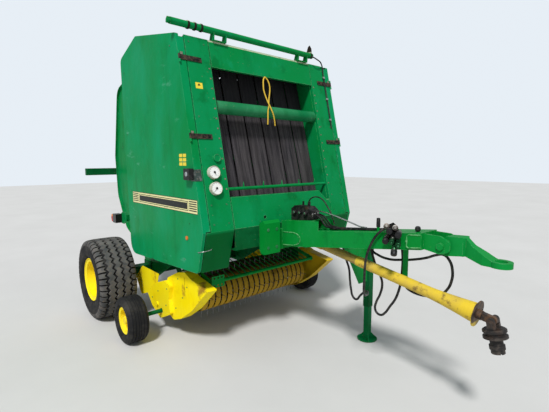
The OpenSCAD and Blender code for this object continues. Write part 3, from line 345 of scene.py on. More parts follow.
def edge_mask(tree, width, low, high):
    """Where the surface turns within a short distance: the edges that rub bare first, and where a light colour
    laid on them is painted highlight.
    """
    rounded = tree.nodes.new("ShaderNodeBevel")
    rounded.samples = 4
    rounded.inputs["Radius"].default_value = width
    here = tree.nodes.new("ShaderNodeNewGeometry")
    turn = tree.nodes.new("ShaderNodeVectorMath")
    turn.operation = "DOT_PRODUCT"
    tree.links.new(rounded.outputs["Normal"], turn.inputs[0])
    tree.links.new(here.outputs["Normal"], turn.inputs[1])
    mask = tree.nodes.new("ShaderNodeMapRange")
    mask.inputs["From Min"].default_value = high
    mask.inputs["From Max"].default_value = low
    tree.links.new(turn.outputs["Value"], mask.inputs["Value"])
    return mask.outputs["Result"]


def enamel(name, colour, faded, deep, rough=0.38, marks_share=1.0, edge_colour=primer, edge_cover=(0.47, 0.56), edge=0.004,
           stained=0.45):
    """Old machine enamel: faded patches, dark runs, dust and chips along the edges; a light edge colour is partly
    painted highlight.
    """
    material, tree, shader = finish(name, colour, rough)
    shader.inputs["Specular IOR Level"].default_value = 0.05
    fade = cloudy(tree, 1.6, 0.42, 0.68)
    coat = lay_over(tree, colour, faded, times(tree, fade, 0.75))
    runs = cloudy(tree, 3.0, 0.55, 0.75, stretch=(3, 3, 0.35))
    coat = lay_over(tree, coat, deep, times(tree, runs, 0.45))
    scuffs = cloudy(tree, 9.0, 0.60, 0.70, stretch=(1, 1.6, 0.5), detail=9)
    coat = lay_over(tree, coat, faded, times(tree, scuffs, 0.7))
    stains = cloudy(tree, 5.0, 0.56, 0.66, detail=8)
    coat = lay_over(tree, coat, deep, times(tree, stains, stained))
    specks = cloudy(tree, 60, 0.68, 0.74, detail=3)
    coat = lay_over(tree, coat, yard_dust, times(tree, specks, 0.5 * marks_share))
    edge_wear_and_highlight = times(tree, edge_mask(tree, edge, 0.80, 0.995), cloudy(tree, 26, *edge_cover))
    coat = lay_over(tree, coat, edge_colour, times(tree, edge_wear_and_highlight, marks_share))
    paint(tree, shader, coat)
    varied_gloss(tree, shader, fade, rough - 0.06, rough + 0.14)
    bumps(tree, shader, cloudy(tree, 7, 0.3, 0.7, detail=2), 0.12, 0.01)
    return material, tree, shader, coat


body_green = enamel("body_green", green_new, green_faded, green_deep, edge_colour=green_wear_and_highlight)[0]
for node in ("side_frames", "gearbox", "tailgate_frame", "right_cylinder", "left_cylinder", "belt_guide"):
    dress(node, body_green)
tongue_green = enamel("tongue_green", (0.0012, 0.220, 0.026), (0.008, 0.27, 0.06), green_deep, 0.36,
                      edge_colour=green_wear_and_highlight)[0]
for node in ("tongue", "hitch_arm", "windguard"):
    dress(node, tongue_green)
roller_green = enamel("roller_green", (0.004, 0.16, 0.05), (0.05, 0.27, 0.12), green_deep, 0.42)[0]
dress("window_roller", roller_green)
# A dark copy of the body's green for the axle, light bar, pickup frame and jack tube: painted shade.
shaded_frame_green = enamel("shaded_frame_green", (0.0012, 0.085, 0.020), (0.004, 0.13, 0.04), (0.0006, 0.040, 0.009),
                     0.5)[0]
for node in ("axle", "light_bar", "pickup_frame", "jack_tube"):
    dress(node, shaded_frame_green)
foot_green = enamel("foot_green", (0.0012, 0.13, 0.034), green_faded, green_deep, 0.45)[0]
dress("jack_leg", foot_green)


def within(tree, axis, centre, half, soft=0.001):
    """1 where a piece's coordinate lies within half of the centre, else 0."""
    where = tree.nodes.new("ShaderNodeTexCoord")
    split = tree.nodes.new("ShaderNodeSeparateXYZ")
    tree.links.new(where.outputs["Object"], split.inputs["Vector"])
    off = tree.nodes.new("ShaderNodeMath")
    off.operation = "SUBTRACT"
    off.inputs[1].default_value = centre
    tree.links.new(split.outputs[axis], off.inputs[0])
    size = tree.nodes.new("ShaderNodeMath")
    size.operation = "ABSOLUTE"
    tree.links.new(off.outputs["Value"], size.inputs[0])
    mask = tree.nodes.new("ShaderNodeMapRange")
    mask.inputs["From Min"].default_value = half + soft
    mask.inputs["From Max"].default_value = half
    tree.links.new(size.outputs["Value"], mask.inputs["Value"])
    return mask.outputs["Result"]


# Front cross beam: a square tube in the dark shade under the body, painted a dark green as painted
# shade, and the two bright clamp plates in front of it that take the tongue.
shaded_beam_green, tree, shader, coat = enamel("shaded_beam_green", (0.0012, 0.085, 0.020), (0.004, 0.13, 0.04),
                                        (0.0006, 0.040, 0.009), 0.5)
clamps = within(tree, "Y", axle_y - 1.804, 0.036, 0.001)
paint(tree, shader, lay_over(tree, coat, (0.0012, 0.220, 0.028), clamps))
dress("cross_beam", shaded_beam_green)

# Panels round the window: the fold along the roof's front edge is pale cream, partly rubbed to primer
# where the hay and the hands have polished it, and partly a painted highlight along the fold.
panel_green, tree, shader, coat = enamel("panel_green", (0.0010, 0.215, 0.048), green_faded, green_deep,
                                         edge_colour=green_wear_and_highlight, edge_cover=(0.40, 0.50), edge=0.006)
fold_wear_and_highlight = times(tree, within(tree, "Z", 2.676, 0.009, 0.003), cloudy(tree, 14, 0.30, 0.46, stretch=(1, 6, 6)))
paint(tree, shader, lay_over(tree, coat, cream_wear_and_highlight, fold_wear_and_highlight))
dress("front_panels", panel_green)

# Posts beside the window: the same sheet, with its lower folds painted darker as painted shade, where they face
# down.
post_green, tree, shader, coat = enamel("post_green", (0.0010, 0.215, 0.052), green_faded, green_deep,
                                        edge_colour=green_wear_and_highlight, edge_cover=(0.40, 0.50), edge=0.006)
# Darker green from 0.3 m to 1.1 m high: painted shade.
painted_shade_low = times(tree, within(tree, "Z", 0.70, 0.40, 0.02), 0.75)
paint(tree, shader, lay_over(tree, coat, (0.0005, 0.075, 0.012), painted_shade_low))
dress("front_strips", post_green)

# Side doors: large folded sheets whose paint has gone milky in big soft clouds, with whitish
# scuffs where they are leaned on.
# The doors' light green edges are rubbed paint and painted highlights along their folds.
door_green, tree, shader, coat = enamel("door_green", (0.0006, 0.230, 0.062), (0.0015, 0.285, 0.100),
                                        green_deep,
                                        edge_colour=(0.13, 0.42, 0.24), edge_cover=(0.40, 0.50), edge=0.006, stained=0.16)
milky = cloudy(tree, 2.4, 0.46, 0.68, stretch=(1, 1, 0.45), detail=5)
coat = lay_over(tree, coat, (0.002, 0.315, 0.140), times(tree, milky, 0.55))
deeper = cloudy(tree, 1.1, 0.52, 0.64, stretch=(1, 1, 0.6), detail=3)
coat = lay_over(tree, coat, (0.0004, 0.200, 0.030), times(tree, deeper, 0.65))
rubs = cloudy(tree, 5.5, 0.63, 0.72, stretch=(1, 0.5, 1.6), detail=10)
coat = lay_over(tree, coat, (0.13, 0.42, 0.28), times(tree, rubs, 0.5))
paint(tree, shader, coat)
for node in ("right_shield", "left_shield"):
    dress(node, door_green)

# Top tube: green steel tube with blackened clamps and the dark stop lever at its left end.
tube_green, tree, shader, coat = enamel("tube_green", green_new, green_faded, green_deep)
for centre, half in ((-0.793, 0.009), (-0.733, 0.009), (-0.673, 0.009), (0.618, 0.010)):
    coat = lay_over(tree, coat, (0.022, 0.016, 0.013), within(tree, "X", centre, half))
# A pale cream line along the top of the tube: rubbed paint and a painted highlight.
coat = lay_over(tree, coat, cream_wear_and_highlight, times(tree, within(tree, "Z", 2.787, 0.004, 0.005),
                                              cloudy(tree, 12, 0.35, 0.5, stretch=(1, 4, 4))))
paint(tree, shader, coat)
dress("top_tube", tube_green)

# Turned parts: one outline swept round an axis, for dial cases, couplings and tyres.
def turned(name, rings, steps, material, closed=False):
    """A turned piece about Z: a circle pulled out ring by ring, each ring a radius and a height."""
    deselect()
    radius, height = rings[0]
    bpy.ops.mesh.primitive_circle_add(vertices=steps, radius=radius, location=(0, 0, height),
                                      fill_type="NOTHING" if closed else "NGON")
    piece = named(name, material)
    bpy.ops.object.transform_apply(location=True)
    bpy.ops.object.mode_set(mode="EDIT")
    bpy.ops.mesh.select_all(action="SELECT")
    for next_radius, next_height in rings[1:]:
        bpy.ops.mesh.extrude_edges_move(TRANSFORM_OT_translate={"value": (0, 0, next_height - height)})
        bpy.ops.transform.resize(value=(next_radius / radius, next_radius / radius, 1),
                                 center_override=(0, 0, next_height))
        radius, height = next_radius, next_height
    if not closed:
        bpy.ops.mesh.edge_face_add()
    bpy.ops.mesh.select_all(action="SELECT")
    bpy.ops.mesh.remove_doubles(threshold=0.00002)
    bpy.ops.mesh.normals_make_consistent(inside=False)
    bpy.ops.object.mode_set(mode="OBJECT")
    return piece


def copy_of(pattern, name, place):
    """A copy of a pattern with its own mesh, at a place."""
    copy = bpy.data.objects.new(name, pattern.data.copy())
    bpy.context.scene.collection.objects.link(copy)
    copy.matrix_world = place
    return copy


def smooth(piece, degrees=35):
    """Shaded smooth except over sharp edges."""
    deselect()
    piece.select_set(True)
    bpy.context.view_layer.objects.active = piece
    bpy.ops.object.shade_smooth_by_angle(angle=math.radians(degrees))
    return piece


def facing(place, normal):
    """Where a turned piece goes when its axis leaves a place, in mm from the axle, along a normal."""
    return Matrix.Translation(from_axle([place])[0]) @ Vector(normal).to_track_quat("Z", "Y").to_matrix().to_4x4()


# Bolts: hexagon heads on round washers, zinc plated and dull. One is made, and each place gets
# a copy, turned to the sheet that it holds.
lean = (1764 - 1419) / (2680 - 1124)


def face_y(z):
    """How far the leaning front face stands from the axle, at a height, in mm."""
    return -1764 + (z - 1124) * lean


bpy.ops.mesh.primitive_cylinder_add(vertices=6, radius=0.0095, depth=0.0065, location=(0, 0, 0.00525))
deselect()
bolt_head = bpy.context.active_object
bolt_head.select_set(True)
bolt_head = named("bolt_pattern", zinc)
round_edges(0.0008, 1)
deselect()
bpy.ops.mesh.primitive_cylinder_add(vertices=20, radius=0.013, depth=0.002, location=(0, 0, 0.001))
washer = named("washer_pattern", zinc)
bolt_head = weld("bolt_pattern", [bolt_head, washer])


def bolts(name, places, normal, size, body, material=zinc):
    """Copies of the bolt at places measured in mm from the axle."""
    turn = Vector(normal).to_track_quat("Z", "Y").to_matrix().to_4x4()
    copies = []
    for place in from_axle(places):
        copies.append(copy_of(bolt_head, name, Matrix.Translation(place) @ turn @ Matrix.Scale(size, 4)))
    piece = seat(weld(name, copies))
    piece.data.materials.clear()
    piece.data.materials.append(material)
    fitted(piece, body)
    return piece


painted_bolt = enamel("painted_bolt", (0.010, 0.16, 0.05), (0.08, 0.22, 0.12), (0.02, 0.05, 0.02), 0.5,
                      edge_colour=(0.20, 0.17, 0.14))[0]
face_out = (0, -1, lean)
window_bolts = [(x, face_y(z) - 0.2, z) for x in (-628, 628) for z in range(1450, 2440, 82)]
bolts("window_bolts", window_bolts, face_out, 0.85, "chassis")
bolts("post_bolts", [(x, face_y(z) - 0.2, z) for x in (-790, 790, -650,
                                                       650) for z in (1180, 1330, 2030, 2630)], face_out,
      0.8, "chassis", painted_bolt)
bolts("clamp_bolts", [(s * x, -1838.2, z) for s in (-1, 1) for x in (215, 310) for z in (935, 1090)],
      (0, -1, 0), 1.5,
      "chassis", painted_bolt)
door_bolt_places = ((-300, 2560), (-320, 1950), (-330, 1380), (-360, 900), (-1460, 870), (-1320, 2600),
                    (-1560, 1180))
for side, body in ((-1, "right_door"), (1, "left_door")):
    bolts(body + "_bolts", [(side * 900.2, y, z) for y, z in door_bolt_places], (side, 0, 0), 0.8, body,
          painted_bolt)


# Strap hinges: forged iron gone black with grease and rust.
hinge_iron, tree, shader, crust = mottled("hinge_iron", (0.018, 0.018, 0.018), (0.11, 0.075, 0.05), 0.6, 0.5,
                                          38, 0.42, 0.62)
varied_gloss(tree, shader, crust, 0.4, 0.85)
bumps(tree, shader, cloudy(tree, 50, 0.3, 0.7), 0.5, 0.004)
dress("shield_hinges", hinge_iron)
for side, body in ((-1, "right_door"), (1, "left_door")):
    hooks = []
    for z in (2517, 1896):
        deselect()
        bpy.ops.mesh.primitive_cube_add(size=1, location=(0, 0, 0))
        hook = named(body + "_hook", zinc)
        hook.scale = (0.026, 0.009, 0.030)
        bpy.ops.object.transform_apply(scale=True)
        round_edges(0.0035, 3)
        hook.matrix_world = Matrix.Translation(from_axle([(side * 872, face_y(z) - 4, z)])[0])
        hooks.append(seat(hook))
    latch = weld(body + "_hooks", hooks)
    fitted(latch, body)


# Stripes and labels: printed foil on the side doors and the right-hand post, kept as plain
# bands and blank fields.
def foil(name, outline, thickness, material, body):
    """A thin sheet cut to an outline, given by its corners in metres, anticlockwise from outside."""
    deselect()
    bpy.ops.mesh.primitive_circle_add(vertices=len(outline), radius=1, fill_type="NGON")
    piece = named(name, material)
    for vertex, corner in zip(piece.data.vertices, outline):
        vertex.co = corner
    bpy.ops.object.mode_set(mode="EDIT")
    bpy.ops.mesh.select_all(action="SELECT")
    out = Vector(thickness)
    bpy.ops.mesh.extrude_region_move(TRANSFORM_OT_translate={"value": out})
    bpy.ops.mesh.select_all(action="SELECT")
    bpy.ops.mesh.normals_make_consistent(inside=False)
    bpy.ops.object.mode_set(mode="OBJECT")
    fitted(piece, body)
    return piece


foil_cream = mottled("foil_cream", (0.80, 0.74, 0.36), (0.20, 0.26, 0.12), 0.4, 0, 24, 0.60, 0.70, share=0.8,
                     stretch=(1, 0.4, 2))[0]
foil_yellow = mottled("foil_yellow", (0.84, 0.64, 0.05), (0.30, 0.24, 0.04), 0.4, 0, 40, 0.58, 0.68,
                      share=0.8)[0]
foil_black = mottled("foil_black", (0.012, 0.014, 0.012), (0.10, 0.12, 0.08), 0.42, 0, 30, 0.60, 0.70,
                     share=0.7)[0]
band_rows = ((-1692, -390, 1262, 1377, foil_black, 0.0005), (-1690, -392, 1267, 1372, foil_cream, 0.0008),
             (-1548, -548, 1280, 1359, foil_black, 0.0011), (-1542, -554, 1286, 1353, foil_cream, 0.0014),
             (-1534, -562, 1293, 1346, foil_black, 0.0017))
tail_rows = [(y0, y1, z, z + 9, foil_black, 0.0011) for z in (1282, 1300, 1318, 1336, 1354)
             for y0, y1 in ((-1682, -1562), (-534, -400))]
for side, body in ((-1, "right_door"), (1, "left_door")):
    for number, (front, rear, low, high, material, proud) in enumerate(band_rows + tuple(tail_rows)):
        corners = from_axle([(side * 900.1, front, low), (side * 900.1, rear, low),
                             (side * 900.1, rear, high),
                             (side * 900.1, front, high)])
        foil(f"{body}_band_{number}", corners, (side * proud, 0, 0), material, body)
for column in (-1536, -1474):
    for row in (1641, 1675, 1709):
        corners = from_axle([(-900.1, column, row), (-900.1, column + 52, row),
                             (-900.1, column + 52, row + 26),
                             (-900.1, column, row + 26)])
        foil(f"door_label_{-column}_{row}", corners, (-0.0006, 0, 0), foil_yellow, "right_door")
corners = from_axle([(x, face_y(z) - 0.1, z) for x,
                     z in ((-780, 2256), (-716, 2256), (-716, 2304), (-780, 2304))])
foil("post_label", corners, (0, -0.0006, 0.0001), foil_yellow, "chassis")
corners = from_axle([(x, face_y(z) - 0.7, z) for x, z in ((-762, 2280), (-734, 2280), (-748, 2299))])
foil("post_label_mark", corners, (0, -0.0004, 0.0001), foil_black, "chassis")
deselect()
bpy.ops.mesh.primitive_cylinder_add(vertices=32, radius=0.017, depth=0.008)
reflector_amber = mottled("reflector_amber", (0.78, 0.20, 0.02), (0.55, 0.10, 0.01), 0.15, 0, 220, 0.4,
                          0.6)[0]
reflector = named("door_reflector", reflector_amber)
round_edges(0.002, 2)
seat(reflector, Matrix.Translation(from_axle([(-903, -1511,
                                               1055)])[0]) @ Matrix.Rotation(math.radians(90), 4, "Y"))
fitted(reflector, "right_door")
corners = from_axle([(-900.1, -920, 733), (-900.1, -792, 748), (-900.1, -790, 755), (-900.1, -918, 740)])
foil("door_slot", corners, (-0.0008, 0, 0), foil_black, "right_door")


# Marker box: a black plastic housing on the right-hand door, with a domed grey lens in its
# face and a dull steel bracket that wraps round the folded edge of the door.
black_plastic, tree, shader = mottled("black_plastic", (0.012, 0.012, 0.013), (0.05, 0.048, 0.045), 0.4, 0,
                                      50, 0.5, 0.7)[:3]
bumps(tree, shader, cloudy(tree, 300, 0.3, 0.7), 0.2, 0.0005)
dress("marker_box", black_plastic)
grey_insert = mottled("grey_insert", (0.40, 0.42, 0.44), (0.12, 0.12, 0.12), 0.12, 0.3, 40, 0.5, 0.7)[0]
bright_sheet = mottled("bright_sheet", (0.060, 0.085, 0.075), (0.22, 0.23, 0.22), 0.45, 0.5, 30, 0.52,
                       0.66)[0]
deselect()
bpy.ops.mesh.primitive_uv_sphere_add(segments=32, ring_count=16, radius=0.019)
lens = named("marker_lens", grey_insert)
lens.scale = (0.35, 1, 1)
lens.location = from_axle([(-941.5, -1606, 1576)])[0]
bpy.ops.object.transform_apply(location=True, scale=True)
smooth(lens)
fitted(lens, "right_door")
bracket_low = 1522
bracket_high = 1612
wrap = from_axle([(-900.4, -1605, bracket_low), (-900.4, face_y(bracket_low) - 1, bracket_low),
                  (-842, face_y(bracket_low) - 1, bracket_low),
                  (-842, face_y(bracket_high) - 1, bracket_high),
                  (-900.4, face_y(bracket_high) - 1, bracket_high), (-900.4, -1605, bracket_high)])
foil("marker_bracket", [wrap[0], wrap[1], wrap[4], wrap[5]], (-0.002, 0, 0), bright_sheet, "right_door")
foil("marker_bracket_front", wrap[1:5], (0, -0.002, 0.0004), bright_sheet, "right_door")
bolts("marker_screws", [(x, face_y(z) - 3, z) for x in (-862, -880) for z in (1540, 1592)], face_out, 0.5,
      "right_door")


# Dial gauges: cream cases screwed to the post, each with a white printed face, a scale and a
# black pointer on its hub. The round port above them has a folded green rim.
dial_cream = mottled("dial_cream", (0.58, 0.56, 0.47), (0.28, 0.25, 0.18), 0.35, 0, 50, 0.5, 0.7)[0]
dial_white = mottled("dial_white", (0.84, 0.84, 0.80), (0.60, 0.57, 0.48), 0.35, 0, 40, 0.55, 0.8)[0]
dress("gauges", dial_white)
for number, (z, pointer_turn) in enumerate(((1583, 205), (1457, 140))):
    face = facing((-737, face_y(z), z), face_out)
    case = smooth(turned("dial_case", ((0.0520, 0.0003), (0.0520, 0.0290), (0.0500, 0.0335), (0.0475, 0.0335),
                                       (0.0460, 0.0310),
                                       (0.0460, 0.0285)), 48, dial_cream))
    case = seat(case, face)
    case.name = f"dial_case_{number}"
    fitted(case, "chassis")
    deselect()
    bpy.ops.mesh.primitive_cylinder_add(vertices=48, radius=0.0458, depth=0.0008, location=(0, 0, 0.0290))
    plate = named(f"dial_plate_{number}", dial_white)
    bpy.ops.object.transform_apply(location=True)
    plate = seat(plate, face)
    fitted(plate, "chassis")
    marks = []
    for step in range(11):
        turn = math.radians(-135 + 27 * step)
        deselect()
        bpy.ops.mesh.primitive_cube_add(size=1)
        mark = named("dial_mark", foil_black)
        long_mark = step % 5 == 0
        mark.scale = (0.0022 if long_mark else 0.0013, 0.009 if long_mark else 0.0055, 0.0006)
        mark.location = (0, 0.0385, 0.0297)
        bpy.ops.object.transform_apply(location=True, scale=True)
        mark.matrix_world = face @ Matrix.Rotation(turn, 4, "Z")
        marks.append(seat(mark))
    deselect()
    bpy.ops.mesh.primitive_cone_add(vertices=4, radius1=0.0026, radius2=0.0006, depth=0.036,
                                    location=(0, 0.016, 0.0312),
                                    rotation=(math.radians(-90), 0, 0))
    pointer = named("dial_pointer", foil_black)
    bpy.ops.object.transform_apply(location=True, rotation=True)
    pointer.matrix_world = face @ Matrix.Rotation(math.radians(pointer_turn), 4, "Z")
    marks.append(seat(pointer))
    deselect()
    bpy.ops.mesh.primitive_cylinder_add(vertices=24, radius=0.0085, depth=0.005, location=(0, 0, 0.0320))
    boss = named("dial_boss", foil_black)
    bpy.ops.object.transform_apply(location=True)
    boss.matrix_world = face
    marks.append(seat(boss))
    dial = weld(f"dial_scale_{number}", marks)
    fitted(dial, "chassis")
port_rim = smooth(turned("port_rim", ((0.0330, 0.0003), (0.0330, 0.0150), (0.0310, 0.0185), (0.0280, 0.0185),
                                      (0.0265, 0.0160),
                                      (0.0240, 0.0150)), 40, post_green))
seat(port_rim, facing((-684, face_y(1698), 1698), face_out))
fitted(port_rim, "chassis")


# Belts and rollers: six black rubber belts side by side, their fabric face polished and
# dusty from the hay, on bare steel rollers.
belt_finish, tree, shader = finish("belt_rubber", (0.03, 0.028, 0.032), 0.62)
streaks = cloudy(tree, 7, 0.42, 0.72, stretch=(7, 0.35, 0.35))
grime = cloudy(tree, 3, 0.35, 0.65, stretch=(2, 0.6, 0.6))
weave = cloudy(tree, 190, 0.35, 0.65, detail=2)
belt_coat = lay_over(tree, (0.014, 0.012, 0.016), (0.078, 0.066, 0.076), times(tree, streaks, 0.75))
belt_coat = lay_over(tree, belt_coat, (0.055, 0.047, 0.045), times(tree, grime, 0.5))
belt_coat = lay_over(tree, belt_coat, (0.13, 0.12, 0.115), times(tree, times(tree, weave, streaks), 0.5))
# The belts from 2.15 m to 2.75 m high are painted nearly black: painted shade in the window's upper part.
belt_coat = lay_over(tree, belt_coat, (0.006, 0.006, 0.008),
                     times(tree, within(tree, "Z", 2.45, 0.30, 0.08), 0.75))
paint(tree, shader, belt_coat)
bumps(tree, shader, weave, 0.5, 0.002)
dress("front_belts", belt_finish)
dress("tailgate_belts", belt_finish)
iron_finish, tree, shader, rust = mottled("greasy_iron", (0.022, 0.020, 0.019), (0.10, 0.045, 0.02), 0.5, 0.6,
                                          14, 0.45, 0.62)
varied_gloss(tree, shader, rust, 0.35, 0.8)
bumps(tree, shader, cloudy(tree, 60, 0.3, 0.7), 0.25, 0.002)
for node in ("chamber_rollers", "tailgate_rollers"):
    dress(node, iron_finish)


# Main tyres: low-pressure implement tyres with three zigzag ribs, square blocks on the
# shoulders, a smooth sidewall with raised rings, and their bead on the rim's flange.
tyre_finish, tree, shader = mottled("tyre_rubber", (0.010, 0.010, 0.011), (0.046, 0.042, 0.037), 0.75, 0, 8,
                                    0.45, 0.75)[:3]
bumps(tree, shader, cloudy(tree, 120, 0.3, 0.7), 0.2, 0.001)
tread_finish, tree, shader = finish("tread_rubber", (0.05, 0.05, 0.05), 0.8)
coat = lay_over(tree, (0.060, 0.061, 0.062), (0.150, 0.140, 0.130), cloudy(tree, 9, 0.4, 0.7))
coat = lay_over(tree, coat, (0.135, 0.105, 0.08), times(tree, cloudy(tree, 36, 0.5, 0.7), 0.7))
paint(tree, shader, coat)
bumps(tree, shader, cloudy(tree, 160, 0.3, 0.7), 0.3, 0.001)


wheel_r = 0.425
wheel_x = 1.085
tread_deep = 0.015
pitches = 42

# The crown: each row is a distance from the tyre's middle and the radius there.
crown = ((0.0, 0.4250), (0.095, 0.4246), (0.140, 0.4205), (0.160, 0.4165), (0.174, 0.4080), (0.184, 0.3930),
         (0.1893, 0.3660))


def crown_r(x):
    """Radius of the tread's top at a distance from the tyre's middle."""
    for (x0, r0), (x1, r1) in zip(crown, crown[1:]):
        if abs(x) <= x1:
            return r0 + (r1 - r0) * (abs(x) - x0) / (x1 - x0)
    return crown[-1][1]


half_section = [(0.2034, 0.0), (0.2034, 0.147), (0.2312, 0.154), (0.2500, 0.1720), (0.2680, 0.1865),
                (0.2860, 0.1893),
                (0.2980, 0.1893), (0.2990, 0.1880), (0.3060, 0.1880), (0.3070, 0.1893), (0.3420, 0.1893),
                (0.3430, 0.1878),
                (0.3500, 0.1878), (0.3510, 0.1893), (0.3620, 0.1893), (0.3760, 0.1810), (0.3900, 0.1700),
                (0.4010, 0.1560),
                (0.4060, 0.1380), (0.4098, 0.0950), (0.4102, 0.0)]
section = half_section[1:] + [(r, -x) for r, x in reversed(half_section[1:-1])] + [half_section[1]]
carcass = smooth(turned("tyre_carcass", section, 84, tyre_finish, closed=True))

rib_edge = 0.012
pitch_length = 2 * math.pi * wheel_r / pitches
tread_parts = []
for number, (low, high, zigzag_low, zigzag_high, gap) in enumerate((
        (-0.186, -0.129, 0.0, 1.0, 0.018), (-0.104, -0.050, 1.0, 1.0, 0.0), (-0.026, 0.026, 1.0, 1.0, 0.0),
        (0.050, 0.104, 1.0, 1.0, 0.0), (0.129, 0.186, 1.0, 0.0, 0.018))):
    deselect()
    bpy.ops.mesh.primitive_grid_add(x_subdivisions=6, y_subdivisions=4, size=1)
    rib = named(f"tread_rib_{number}", tread_finish)
    for vertex in rib.data.vertices:
        across, along = vertex.co.x + 0.5, vertex.co.y + 0.5
        along = gap / 2 + along * (pitch_length - gap)
        wave = rib_edge * (1 - 4 * abs(along / pitch_length - 0.5))
        vertex.co = (low + across * (high - low) + wave * (zigzag_low + across * (zigzag_high - zigzag_low)),
                     along, 0)
    bpy.ops.object.mode_set(mode="EDIT")
    bpy.ops.mesh.select_all(action="SELECT")
    bpy.ops.mesh.extrude_region_move(TRANSFORM_OT_translate={"value": (0, 0, -tread_deep - 0.002)})
    bpy.ops.object.mode_set(mode="OBJECT")
    bpy.ops.object.modifier_add(type="ARRAY")
    repeat = rib.modifiers[-1]
    repeat.count = pitches
    repeat.use_relative_offset = False
    repeat.use_constant_offset = True
    repeat.constant_offset_displace = (0, pitch_length, 0)
    bpy.ops.object.modifier_apply(modifier=repeat.name)
    for vertex in rib.data.vertices:
        turn = vertex.co.y / wheel_r
        radius = crown_r(vertex.co.x) + vertex.co.z
        vertex.co = (radius * math.cos(turn), radius * math.sin(turn), vertex.co.x)
    bpy.ops.object.mode_set(mode="EDIT")
    bpy.ops.mesh.select_all(action="SELECT")
    bpy.ops.mesh.remove_doubles(threshold=0.0002)
    if gap == 0:
        bpy.ops.mesh.select_all(action="DESELECT")
        bpy.ops.mesh.select_interior_faces()
        bpy.ops.mesh.delete(type="FACE")
        bpy.ops.mesh.select_all(action="SELECT")
    bpy.ops.mesh.normals_make_consistent(inside=False)
    bpy.ops.object.mode_set(mode="OBJECT")
    tread_parts.append(rib)
main_tyre = weld("main_tyre_pattern", [carcass] + tread_parts)
for side, body in ((-1, "right_wheel"), (1, "left_wheel")):
    tyre = bpy.data.objects.new(body + "_tyre", main_tyre.data.copy())
    bpy.context.scene.collection.objects.link(tyre)
    seat(tyre, (Matrix.Translation((side * wheel_x, axle_y,
                                    wheel_r)) @ Matrix.Rotation(side * math.radians(90), 4, "Y")))
    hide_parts("right_tyre" if side < 0 else "left_tyre")
    fitted(tyre, body)
bpy.data.objects.remove(main_tyre)

# Gauge tyres: small ribbed tyres with five shallow grooves round the tread.
gauge_r = 0.217
gauge_x = 1.135
gauge_at = Vector((0, axle_y - 0.823, gauge_r))
gauge_half = [(0.1073, 0.060), (0.1280, 0.0660), (0.1500, 0.0925), (0.1700, 0.0948), (0.1840, 0.0948),
              (0.1960, 0.0900),
              (0.2070, 0.0800), (0.2140, 0.0690), (0.2150, 0.0670), (0.2110, 0.0655), (0.2110, 0.0625),
              (0.2155, 0.0610),
              (0.2160, 0.0400), (0.2115, 0.0385), (0.2115, 0.0350), (0.2165, 0.0335), (0.2168, 0.0120),
              (0.2120, 0.0105),
              (0.2120, 0.0070), (0.2168, 0.0055)]
gauge_section = gauge_half + [(r, -x) for r, x in reversed(gauge_half)] + [gauge_half[0]]
gauge_pattern = smooth(turned("gauge_tyre_pattern", gauge_section, 72, tyre_finish, closed=True))
for side, body in ((-1, "right_gauge_wheel"), (1, "left_gauge_wheel")):
    tyre = bpy.data.objects.new(body + "_tyre", gauge_pattern.data.copy())
    bpy.context.scene.collection.objects.link(tyre)
    seat(tyre, (Matrix.Translation((side * gauge_x, gauge_at.y,
                                    gauge_at.z)) @ Matrix.Rotation(math.radians(90), 4, "Y")))
    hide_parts("right_gauge_tyre" if side < 0 else "left_gauge_tyre")
    fitted(tyre, body)
bpy.data.objects.remove(gauge_pattern)

# Rims: pressed steel dishes in plain deep yellow, with wheel nuts on the hub's circle and a
# short rubber valve.
yellow_new = (0.94, 0.76, 0.010)
wheel_yellow = enamel("wheel_yellow", yellow_new, (0.92, 0.72, 0.04), (0.72, 0.46, 0.01), 0.33,
                      edge_colour=(0.16, 0.10, 0.06))[0]
for node in ("right_rim", "left_rim", "right_gauge_rim", "left_gauge_rim"):
    dress(node, wheel_yellow)
for side, body in ((-1, "right_wheel"), (1, "left_wheel")):
    ring = [(side * 1093.2, 112 * math.cos(math.radians(60 * k)),
             425 + 112 * math.sin(math.radians(60 * k))) for k in range(6)]
    bolts(body + "_nuts", ring, (side, 0, 0), 1.6, body)
for side, body in ((-1, "right_gauge_wheel"), (1, "left_gauge_wheel")):
    ring = [(side * 1140.2, -823 + 68 * math.cos(math.radians(90 * k + 20)),
             217 + 68 * math.sin(math.radians(90 * k + 20)))
            for k in range(4)]
    bolts(body + "_nuts", ring, (side, 0, 0), 1.0, body)


# Pickup: formed yellow stripper bands, worn and dirty, with spring tines in their slots, and
# bright end shields with scratches down to brown steel.
band_yellow, tree, shader, coat = enamel("band_yellow", (0.40, 0.24, 0.016), (0.30, 0.19, 0.03),
                                         (0.06, 0.032, 0.008), 0.5, edge_colour=(0.03, 0.02, 0.015))
# The bands' tops, from 0.585 m to 1.015 m high, are painted dark brown: painted shade under the windguard.
painted_shade_band_tops = times(tree, within(tree, "Z", 0.80, 0.215, 0.04), 0.88)
paint(tree, shader, lay_over(tree, coat, (0.020, 0.014, 0.008), painted_shade_band_tops))
dress("pickup_bands", band_yellow)
tine_steel = mottled("tine_steel", (0.20, 0.21, 0.24), (0.10, 0.07, 0.05), 0.4, 0.8, 30, 0.45, 0.65)[0]
dress("pickup_reel", tine_steel)
shield_yellow, tree, shader, coat = enamel("shield_yellow", (0.97, 0.76, 0.003), (0.98, 0.84, 0.02),
                                           (0.84, 0.56, 0.004), 0.34,
                                           edge_colour=(0.20, 0.12, 0.05))
rusty = times(tree, cloudy(tree, 5.5, 0.56, 0.66, detail=8), within(tree, "Z", 0.60, 0.10, 0.08))
coat = lay_over(tree, coat, (0.30, 0.13, 0.03), times(tree, rusty, 0.85))
